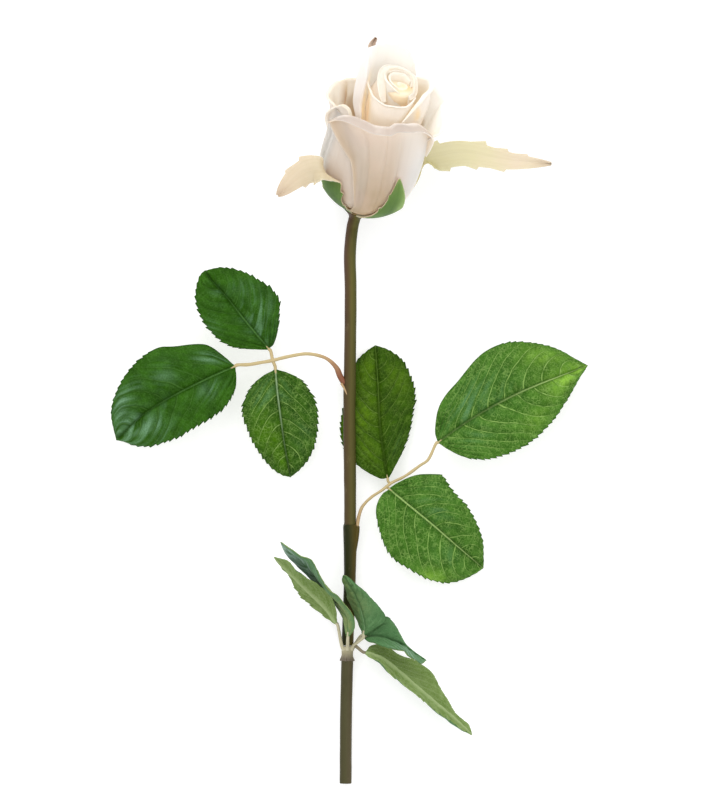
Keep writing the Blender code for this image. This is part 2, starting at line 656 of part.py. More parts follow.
def build():
    clear_scene()
    collection = bpy.data.collections.new("cut_rose")
    bpy.context.scene.collection.children.link(collection)
    materials = {
        "stem": make_material("Stem olive", (0.14, 0.14, 0.04), 0.45),
        "sleeve": make_material("Sleeve dark green", (0.03, 0.035, 0.01), 0.4),
        "hub": make_material("Hub cream", (0.55, 0.5, 0.33), 0.5),
        "stalk": make_material("Stalk beige", (0.5, 0.4, 0.2), 0.5),
        "leaf_dark": make_material("Leaf dark green", (0.03, 0.13, 0.02), 0.6),
        "leaf_light": make_material("Leaf green", (0.07, 0.25, 0.03), 0.6),
        "calyx": make_material("Sepal green", (0.1, 0.25, 0.05), 0.6),
        "petal": make_material("Petal cream", (0.8, 0.72, 0.6), 0.6),
    }
    build_stems(collection, materials)
    build_hub(collection, materials)
    build_leaves(collection, materials)
    build_stalk("left_stalk", LEFT_STALK, LEFT_FORK,
                ["leaf_left_terminal", "leaf_left_upper", "leaf_left_lower"],
                LEFT_STALK_FOOT, collection, materials["stalk"])
    build_stalk("right_stalk", RIGHT_STALK, RIGHT_FORK,
                ["leaf_right_terminal", "leaf_right_upper", "leaf_right_lower"],
                RIGHT_STALK_FOOT, collection, materials["stalk"])
    bowl = Bowl()
    build_petals(bowl, collection, materials)
    build_calyx(bowl, collection, materials)
    build_heart(bowl, collection, materials)


build()
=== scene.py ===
import math

import bpy
from mathutils import Matrix, Vector, noise


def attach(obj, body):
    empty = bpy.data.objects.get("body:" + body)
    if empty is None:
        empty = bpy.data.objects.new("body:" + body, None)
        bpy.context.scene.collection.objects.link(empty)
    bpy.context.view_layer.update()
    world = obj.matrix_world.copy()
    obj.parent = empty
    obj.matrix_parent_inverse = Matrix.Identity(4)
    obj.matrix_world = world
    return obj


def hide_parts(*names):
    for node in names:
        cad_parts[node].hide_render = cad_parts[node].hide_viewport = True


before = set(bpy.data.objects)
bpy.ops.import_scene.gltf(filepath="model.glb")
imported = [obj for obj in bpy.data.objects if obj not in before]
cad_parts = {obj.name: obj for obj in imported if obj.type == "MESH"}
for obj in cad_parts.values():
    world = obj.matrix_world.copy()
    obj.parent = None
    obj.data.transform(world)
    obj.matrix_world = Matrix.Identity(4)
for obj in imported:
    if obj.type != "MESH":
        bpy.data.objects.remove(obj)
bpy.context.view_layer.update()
print("rose: frame loaded")

mm = 0.001
mergeReach = 0.00001   # in metres: points of a spun or swept mesh as close as this become one


def colour(code):
    # "#RRGGBB" as Blender's linear colour
    shares = [int(code[k:k + 2], 16) / 255 for k in (1, 3, 5)]
    return tuple(s / 12.92 if s <= 0.04045 else ((s + 0.055) / 1.055) ** 2.4 for s in shares) + (1,)


def clamp(value, low=0.0, high=1.0):
    return max(low, min(high, value))


def unevenAt(x, y=0.0, z=0.0):
    return noise.noise(Vector((x, y, z)))


def hill(x, middle, width):
    # 1 in the middle, falling off softly to both sides
    return math.exp(-((x - middle) / width) ** 2)


def curvePoint(before, start, end, after, t):
    # a point of the smooth curve from start to end, with their neighbours, t from 0 to 1
    return 0.5 * (2 * start + (end - before) * t + (2 * before - 5 * start + 4 * end - after) * t * t
                  + (3 * start - before - 3 * end + after) * t ** 3)


def smoothPath(points, steps):
    # a smooth line through the given points
    knots = [Vector(p) for p in points]
    knots = [knots[0] * 2 - knots[1]] + knots + [knots[-1] * 2 - knots[-2]]
    fours = zip(knots, knots[1:], knots[2:], knots[3:])
    return [curvePoint(*four, step / steps) for four in fours for step in range(steps)] + [knots[-2]]


def runsOf(path):
    # length along a line at each of its points
    runs = [0.0]
    for start, end in zip(path, path[1:]):
        runs.append(runs[-1] + (end - start).length)
    return runs


def legAt(points, share):
    # the leg of a line at a share of its points, and the place on that leg
    place = clamp(share) * (len(points) - 1)
    k = min(int(place), len(points) - 2)
    return k, place - k


def pickOnly(piece):
    bpy.ops.object.select_all(action="DESELECT")
    piece.select_set(True)
    bpy.context.view_layer.objects.active = piece


def named(name):
    # the object that was just added, under its name
    piece = bpy.context.object
    piece.name = piece.data.name = name
    return piece


def addMark(piece, title, values):
    # an attribute that the finishes read
    layer = piece.data.attributes.new(title, "FLOAT", "POINT")
    layer.data.foreach_set("value", values)


def layGrid(name, columns, rows, surface, marks):
    # a grid whose points are laid on surface(u, v), u from -1 to 1 and v from 0 to 1;
    # marks are attributes, each a name and a function of u and v
    bpy.ops.object.select_all(action="DESELECT")
    bpy.ops.mesh.primitive_grid_add(x_subdivisions=columns, y_subdivisions=rows, size=2)
    piece = named(name)
    spots = [(v.co.x, (v.co.y + 1) / 2) for v in piece.data.vertices]
    for title, rule in marks:
        addMark(piece, title, [rule(u, v) for u, v in spots])
    for vert, (u, v) in zip(piece.data.vertices, spots):
        vert.co = surface(u, v)
    return piece


def applyModifier(piece, kind, **values):
    pickOnly(piece)
    modifier = piece.modifiers.new(kind.title(), kind)
    for key, value in values.items():
        setattr(modifier, key, value)
    bpy.ops.object.modifier_apply(modifier=modifier.name)


def thicken(piece, thickness, inner, outer, rim=None):
    # a wall in mm on both sides of the sheet: inner finish on the side that its faces look to
    for name in (inner, outer, rim or outer):
        piece.data.materials.append(finishes[name])
    applyModifier(piece, "SOLIDIFY", thickness=thickness * mm, offset=0, material_offset=1,
                  material_offset_rim=2)


def finishPiece(piece, sharpest, slotName, *nodes):
    # smooth shading but for edges over so many degrees, then the piece's place in the frame
    pickOnly(piece)
    bpy.ops.object.shade_smooth_by_angle(angle=math.radians(sharpest))
    bpy.context.view_layer.update()
    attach(piece, "root")
    if nodes:
        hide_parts(*nodes)


class Finish:
    # a material under construction: every call adds a node and returns its output

    def __init__(self, name, roughness=0.5, **sockets):
        self.material = bpy.data.materials.new(name)
        self.material.use_nodes = True
        self.tree = self.material.node_tree
        self.shader = self.tree.nodes["Principled BSDF"]
        self.shader.inputs["Roughness"].default_value = roughness
        for socket, value in sockets.items():
            self.shader.inputs[socket.replace("_", " ")].default_value = value

    def put(self, socket, value):
        if isinstance(value, bpy.types.NodeSocket):
            self.tree.links.new(value, socket)
        elif value is not None:
            socket.default_value = value

    def add(self, kind, output, values=(), settings=(), **sockets):
        # values go to the node's first sockets in turn, sockets to those of that name
        node = self.tree.nodes.new("ShaderNode" + kind)
        for key, value in settings:
            setattr(node, key, value)
        for socket, value in zip(node.inputs, values):
            self.put(socket, value)
        for socket, value in sockets.items():
            self.put(node.inputs[socket], value)
        return node.outputs[output]

    def mark(self, name):
        return self.add("Attribute", "Fac", settings=[("attribute_name", name)])

    def spot(self):
        return self.add("TexCoord", "Object")

    def stretch(self, scale):
        return self.add("Mapping", "Vector", Vector=self.spot(), Scale=scale)

    def join(self, x, y):
        return self.add("CombineXYZ", "Vector", (x, y))

    def grain(self, vector, scale, detail=3, roughness=0.55):
        return self.add("TexNoise", "Fac", Vector=vector, Scale=scale, Detail=detail, Roughness=roughness)

    def cells(self, vector, scale):
        return self.add("TexVoronoi", "Distance", settings=[("feature", "DISTANCE_TO_EDGE")],
                        Vector=vector, Scale=scale)

    def maths(self, operation, *values):
        return self.add("Math", "Value", values, [("operation", operation)])

    def times(self, first, *others):
        for other in others:
            first = self.maths("MULTIPLY", first, other)
        return first

    def plus(self, first, *others):
        for other in others:
            first = self.maths("ADD", first, other)
        return first

    def around(self, value, reach, middle):
        # value between 0 and 1 becomes middle, give or take half the reach
        return self.maths("MULTIPLY_ADD", self.maths("SUBTRACT", value, 0.5), reach, middle)

    def span(self, value, low, high, start=0.0, end=1.0):
        # value between low and high as a share from start to end
        return self.add("MapRange", "Result", (value, low, high, start, end),
                        [("interpolation_type", "SMOOTHSTEP")])

    def ramp(self, factor, stops):
        node = self.tree.nodes.new("ShaderNodeValToRGB")
        points = node.color_ramp.elements
        while len(points) < len(stops):
            points.new(0.5)
        for point, (place, code) in zip(points, stops):
            point.position = place
            point.color = colour(code)
        self.put(node.inputs["Fac"], factor)
        return node.outputs["Color"]

    def blend(self, factor, first, second, way="MIX"):
        node = self.tree.nodes.new("ShaderNodeMix")
        node.data_type = "RGBA"
        node.blend_type = way
        for k, value in ((0, factor), (6, first), (7, colour(second))):   # 6 and 7 are its colours
            self.put(node.inputs[k], value)
        return node.outputs[2]

    def bump(self, height, distance, strength):
        return self.add("Bump", "Normal", Height=height, Distance=distance, Strength=strength)

    def done(self, base, normal=None, roughness=None):
        for socket, value in (("Base Color", base), ("Normal", normal), ("Roughness", roughness)):
            self.put(self.shader.inputs[socket], value)
        return self.material


def leafFinish(name, shades, rib, vein, veinGain, net, paintedSheen, warm, edge, swell):
    # printed leaf cloth: blotchy green, side veins from the blade's own marks and a fine net
    f = Finish(name, Specular_IOR_Level=0.05)
    dark, middle, light = shades
    rim, ribSide, flatX = f.mark("rim"), f.mark("ribSide"), f.mark("flatX")
    flat = f.join(flatX, f.mark("flatY"))
    phase = f.around(f.grain(flat, 1.3, 2), 0.24, f.mark("phase"))
    base = f.ramp(f.grain(flat, 1.7, 4, 0.6), [(0.3, dark), (0.52, middle), (0.74, light)])
    base = f.blend(f.times(f.mark("warm"), f.span(f.grain(flat, 5, 4), 0.3, 0.6, 0.45, 1.0)), base, warm)
    # painted shade and highlight on the swellings between the side veins: shade towards the foot,
    # highlight towards the tip
    cycle = f.maths("FRACT", phase)
    turn = f.times(f.maths("FLOOR", phase), 0.77)
    strong = f.span(f.grain(f.join(turn, f.times(flatX, 0.3)), 1.6, 1), 0.42, 0.6, 0.15, 1.0)
    paintedHollowShade = f.times(f.span(cycle, 0.0, 0.12), f.span(cycle, 0.6, 0.16), strong,
                     f.span(rim, 0.5, 6.0, 0.0, 0.65 * swell))
    base = f.blend(paintedHollowShade, base, dark)
    paintedCrestHighlight = f.times(f.span(cycle, 0.45, 0.8), f.span(cycle, 1.0, 0.92), f.span(ribSide, 0.3, 3.0),
                    0.4 * swell)
    base = f.blend(paintedCrestHighlight, base, light)
    # net of the smallest veins and light specks
    waver = f.grain(flat, 9, 2, 0.6)
    bent = f.join(f.maths("MULTIPLY_ADD", waver, 0.07, flatX),
                  f.maths("MULTIPLY_ADD", waver, 0.06, f.mark("flatY")))
    web = f.times(f.span(f.cells(bent, 8.5), 0.16, 0.02), f.span(f.grain(flat, 3.2, 3, 0.65), 0.36, 0.66))
    base = f.blend(f.times(web, net), base, vein)
    specks = f.grain(flat, 17, 4, 0.75)
    base = f.blend(f.span(specks, 0.5, 0.7, 0.0, 0.3), base, vein)
    base = f.blend(f.span(specks, 0.5, 0.34, 0.0, 0.4), base, dark)
    # painted sheen: the cloth's highlight along the swellings, painted into the colour; above a strength
    # of 1 the painted sheen lies evenly over the cloth as a haze
    run = f.join(f.times(phase, 1.1), f.times(flatX, 0.5))
    streaks = f.times(f.span(f.grain(run, 1.9, 3, 0.55), 0.36, 0.66), f.span(cycle, 0.1, 0.55, 0.35, 1.0),
                      f.span(specks, 0.36, 0.6, 0.55, 1.0))
    paintedHaze = f.maths("SUBTRACT", f.mark("paintedSheen"), 1.0)
    base = f.blend(f.maths("MAXIMUM", f.times(f.mark("paintedSheen"), streaks), paintedHaze), base, paintedSheen)
    # side veins: painted shade in the crease, with a thin pale line, broken here and there
    away = f.maths("PINGPONG", phase, 0.5)
    base = f.blend(f.times(f.span(away, 0.13, 0.02), f.span(rim, 0.5, 7.0, 0.0, 0.8), strong), base, dark)
    side = f.times(f.span(away, 0.06, 0.012), f.span(rim, 0.2, 6.0, 0.15, 1.0),
                   f.span(f.grain(flat, 3.3, 2), 0.3, 0.6, 0.2, 1.0), veinGain)
    base = f.blend(side, base, vein)
    # midrib: painted shade on both sides of a thin pale line that fades towards one end, and a darker edge
    base = f.blend(f.span(ribSide, 1.5, 0.45, 0.0, 0.5), base, dark)
    line = f.times(f.span(ribSide, 0.75, 0.15), f.span(f.mark("along"), 0.2, 0.75, 0.9, 0.2))
    base = f.blend(line, base, rib)
    base = f.blend(f.span(rim, 0.7, 0.15, 0.0, 0.75), base, edge)
    weave = f.grain(flat, 42, 2, 0.5)
    height = f.plus(f.times(weave, 0.3), f.times(web, -0.4), f.times(specks, 0.5))
    rough = f.span(f.grain(flat, 5, 3), 0.3, 0.7, 0.45, 0.6)
    return f.done(base, f.bump(height, 0.00016, 0.9), rough)


def undersideFinish(name, dark, light, rib):
    # back of the leaf cloth: paler, with the midrib, faint side veins and a net
    f = Finish(name, Specular_IOR_Level=0.05)
    flat = f.join(f.mark("flatX"), f.mark("flatY"))
    base = f.ramp(f.grain(flat, 2.2, 4), [(0.3, dark), (0.7, light)])
    base = f.blend(f.mark("warm"), base, dark)
    side = f.times(f.span(f.maths("PINGPONG", f.mark("phase"), 0.5), 0.1, 0.015), 0.28)
    lines = f.maths("MAXIMUM", side, f.span(f.mark("ribSide"), 1.6, 0.25))
    base = f.blend(f.times(lines, 0.6), base, rib)
    net = f.span(f.cells(flat, 9), 0.1, 0.02)
    base = f.blend(f.times(net, 0.22), base, rib)
    return f.done(base, f.bump(f.plus(f.grain(flat, 40, 2), net), 0.0001, 0.6), 0.6)


def petalFinish(name, deep, middle, top, tint, tintAndPaintedLight, ribs=0.06, stops=(0.1, 0.5, 0.85), side=None,
                light=0.0):
    # petal cloth: deeper at the foot, paler to the rim, faint ribs that fan out, and a tone laid where a
    # mark says:
    # painted warm glow in recesses, painted shade in folds and under the front petal's lip, the brown of
    # dried sepal tips;
    # light is a painted glow: the petal shines by itself, standing for what shines through the layers
    # around it
    f = Finish(name, roughness=0.65, Specular_IOR_Level=0.12, Sheen_Weight=0.06, Sheen_Roughness=0.5,
               Subsurface_Weight=0.7, Subsurface_Scale=0.007, Subsurface_Radius=(1.0, 0.95, 0.86),
               Emission_Color=(1.0, 0.86, 0.66, 1), Emission_Strength=light)
    up, across = f.mark("up"), f.mark("across")
    level = f.around(f.grain(f.spot(), 70, 3), 0.25, up)
    base = f.ramp(level, list(zip(stops, (deep, middle, top))))
    base = f.blend(f.span(f.grain(f.spot(), 38, 2), 0.45, 0.75, 0.0, 0.55), base, tint)
    if side:   # another tone towards the side that the photo shows on the right
        base = f.blend(f.span(across, -0.1, -0.8), base, side)
    base = f.blend(f.mark("tintAndPaintedLight"), base, tintAndPaintedLight)
    streaks = f.grain(f.join(across, f.times(up, 0.12)), 7, 2, 0.5)
    base = f.blend(f.span(streaks, 0.42, 0.7, 0.0, ribs), base, deep, "MULTIPLY")
    crush = f.grain(f.spot(), 240, 3, 0.6)
    weave = f.grain(f.spot(), 2600, 2, 0.5)
    height = f.plus(f.times(streaks, ribs * 3), f.times(crush, 0.4), f.times(weave, 0.25))
    return f.done(base, f.bump(height, 0.0003, 0.35))


def stemFinish(name, stops, streak, gloss=0.45):
    # moulded stem: brown to olive round it, with long streaks and small scuffs
    f = Finish(name, Specular_IOR_Level=0.16)
    sway = f.grain(f.stretch((1, 0.08, 1)), 600, 3)
    base = f.ramp(f.maths("MULTIPLY_ADD", sway, 0.16, f.maths("SUBTRACT", f.mark("around"), 0.08)), stops)
    base = f.blend(f.span(f.mark("along"), 0.95, 0.5, 0.0, 0.5), base, streak)
    streaks = f.grain(f.stretch((1, 0.03, 1)), 900, 4, 0.6)
    base = f.blend(f.span(streaks, 0.5, 0.75, 0.0, 0.45), base, streak)
    cloud = f.grain(f.stretch((1, 0.35, 1)), 120, 3)
    base = f.blend(f.span(cloud, 0.5, 0.8, 0.0, 0.25), base, streak, "MULTIPLY")
    scuffs = f.grain(f.stretch((1, 0.3, 1)), 420, 4, 0.7)
    base = f.blend(f.span(scuffs, 0.62, 0.78, 0.0, 0.3), base, "#8a7d5c")
    height = f.plus(f.times(streaks, 0.8), f.times(f.grain(f.spot(), 2500, 3), 0.3))
    rough = f.span(f.grain(f.spot(), 300, 2), 0.3, 0.7, gloss, gloss + 0.15)
    return f.done(base, f.bump(height, 0.00015, 0.5), rough)


def stalkFinish(name, pale, middle, dark):
    # bare plastic: pale along its length, darker and redder where the mark "foot" says
    f = Finish(name, Specular_IOR_Level=0.35)
    tone = f.maths("MULTIPLY_ADD", f.grain(f.spot(), 260, 3), 0.3, -0.15)
    base = f.ramp(f.plus(f.mark("foot"), tone), [(0.05, pale), (0.5, middle), (0.95, dark)])
    fine = f.grain(f.spot(), 3000, 3)
    return f.done(base, f.bump(fine, 0.0001, 0.5), f.span(fine, 0.3, 0.7, 0.45, 0.6))


# leaves: shades from dark to light, midrib, side veins and their strength, strength of the fine net,
# sheen (a painted highlight), warm patches, edge, strength of the painted shade and highlight on the
# swellings; petals: foot, middle, rim, cloudy tint, the tone of the tint with painted glow and shade,
# then what petalFinish names, light being a painted glow
finishes = {
    "leafDark": leafFinish(
        "Dark leaf cloth", ("#1a3c02", "#264e06", "#346212"), "#5f8c48", "#55803a", 0.35, 0.25, "#6c9370",
        "#4c7a0c", "#17330a", 0.35),
    "leafYellow": leafFinish(
        "Yellowed leaf cloth", ("#193903", "#274c09", "#3d6413"), "#9db68c", "#85a556", 0.8, 0.4,
        "#5f8a5c", "#456f02", "#183306", 0.6),
    "leafLight": leafFinish(
        "Light leaf cloth", ("#254b0c", "#376219", "#4b7728"), "#b2cc84", "#8fb25e", 0.8, 0.42, "#5b875c",
        "#84b23c", "#20430e", 0.6),
    "leafDeep": leafFinish(
        "Deep leaf cloth", ("#193201", "#254302", "#385a07"), "#5c7830", "#688536", 0.62, 0.35, "#4d6e3c",
        "#54770a", "#182e04", 0.6),
    "leafWhorl": leafFinish(
        "Whorl leaf cloth", ("#41683e", "#4c7347", "#5c8456"), "#6f8f64", "#7d9a70", 0.25, 0.12,
        "#9fb8aa", "#85915c", "#3a5a35", 0.5),
    "underDark": undersideFinish("Leaf underside", "#5f7838", "#7f945a", "#a2b282"),
    "underLight": undersideFinish("Light leaf underside", "#587535", "#6f8a4b", "#98ab72"),
    "petalInside": petalFinish(
        "Petal inside", "#efd2a2", "#eee0c9", "#eae2d6", "#eee0cb", "#f2c883", light=0.075),
    "petalOutside": petalFinish("Petal outside", "#cdbba6", "#d9cab9", "#e6d9ca", "#ddcab8", "#94714e"),
    "petalRight": petalFinish(
        "Right petal outside", "#f0e2d0", "#f8eee2", "#f8f0e6", "#f8eadb", "#dcc4a4", light=0.055),
    # front petal outside: its darker beige, deepest at the foot, is partly the cloth's own tone and partly
    # painted shade
    "petalFront": petalFinish(
        "Front petal outside", "#95825f", "#d2bda7", "#d8c5b2", "#dfc0ac", "#b39472", 0.03,
        (0.19, 0.6, 0.83), "#fff6ea"),
    # front petal inside: the grey rim tone is a painted shade on the folded lip band
    "petalLip": petalFinish(
        "Front petal inside", "#f0d6ac", "#e2d6ca", "#a49992", "#bcaca0", "#c4a47e", 0.06,
        (0.3, 0.89, 0.945)),
    "petalTan": petalFinish("Tan petal inside", "#cda474", "#e2c29c", "#f0dcc2", "#e8c6a2", "#94693c"),
    "petalOlive": petalFinish(
        "Olive petal inside", "#cfb684", "#e0caa4", "#ebdcc0", "#e2c8a2", "#c3965c"),
    # tall petal inside: the grey rim tone is a painted shade that evens out the strong light on its upper
    # part
    "petalTall": petalFinish(
        "Tall petal inside", "#ffe2b2", "#e9d9be", "#c3bfb8", "#cec6bb", "#ffdea4", 0.04,
        (0.2, 0.42, 0.62), "#d5d3d3", 0.125),
    "petalDeep": petalFinish(
        "Inner petal inside", "#f0cc92", "#ecdec3", "#e7e1d8", "#ece0cd", "#f2c483", 0.05,
        (0.2, 0.42, 0.62), light=0.115),
    "petalHeart": petalFinish(
        "Inner petal outside", "#efd3a8", "#e8dcc9", "#e3ded5", "#e8dccc", "#eeca92", 0.05,
        (0.2, 0.45, 0.7), light=0.105),
    "petalBud": petalFinish(
        "Bud petal inside", "#f0ca8c", "#ead7b4", "#dcd6ca", "#e4d7c2", "#f0c07c", 0.05, (0.3, 0.6, 0.85),
        light=0.17),
    "budCore": petalFinish(
        "Bud heart", "#e6cca2", "#dfd1b6", "#dbd4c8", "#e0d3be", "#eabd7c", 0.05, (0.1, 0.5, 0.9),
        light=0.11),
    "stem": stemFinish(
        "Stem olive", [(0.05, "#4d362b"), (0.35, "#544326"), (0.6, "#5e5829"), (0.95, "#484819")],
        "#403a19"),
    "stemLow": stemFinish(
        "Lower stem", [(0.05, "#3d3b20"), (0.45, "#4d4b2c"), (0.9, "#5c503a")], "#403c26"),
    "sleeve": stemFinish(
        "Sleeve", [(0.05, "#191e04"), (0.38, "#272b07"), (0.62, "#474012"), (0.95, "#65531e")], "#222405",
        0.4),
    "stalk": stalkFinish("Stalk", "#b8a578", "#a78560", "#7d4c34"),
    "petiole": stalkFinish("Whorl petiole", "#c3bda0", "#948d70", "#625848"),
    "sepalOut": petalFinish("Sepal outside", "#395620", "#4a6a2b", "#5b7e3a", "#638740", "#8fb060", 0.12),
    "sepalIn": petalFinish("Sepal lining", "#b0a582", "#b9a888", "#bda588", "#c0a78a", "#735240", 0.08),
    "sepalYellow": petalFinish(
        "Yellow sepal lining", "#a9a16c", "#aea475", "#b5a084", "#ada577", "#735240", 0.08,
        (0.3, 0.6, 0.85)),
}
print("rose: finishes ready")


photoFrame = dict(middle=(349.4, 411), scale=0.42)   # the pixel at the origin, and mm for a pixel

# in mm: thickness, half widths at the blade's two ends, length of a tooth, depth and half width of the
# crease at the midrib, lowest point over the surface; slope, curve, lag and drift place the side veins
blade = dict(columns=56, rows=190, ribSteps=200, marginSteps=260, thickness=0.42, neck=0.8, point=0.15,
             slope=0.5, curve=1.9, lag=0.45, drift=0.035, toothStep=2.8, toothBand=0.12, toothLean=0.9,
             swell=1.5, crease=0.55, creaseWidth=0.9, bulge=0.09, lowest=0.25)
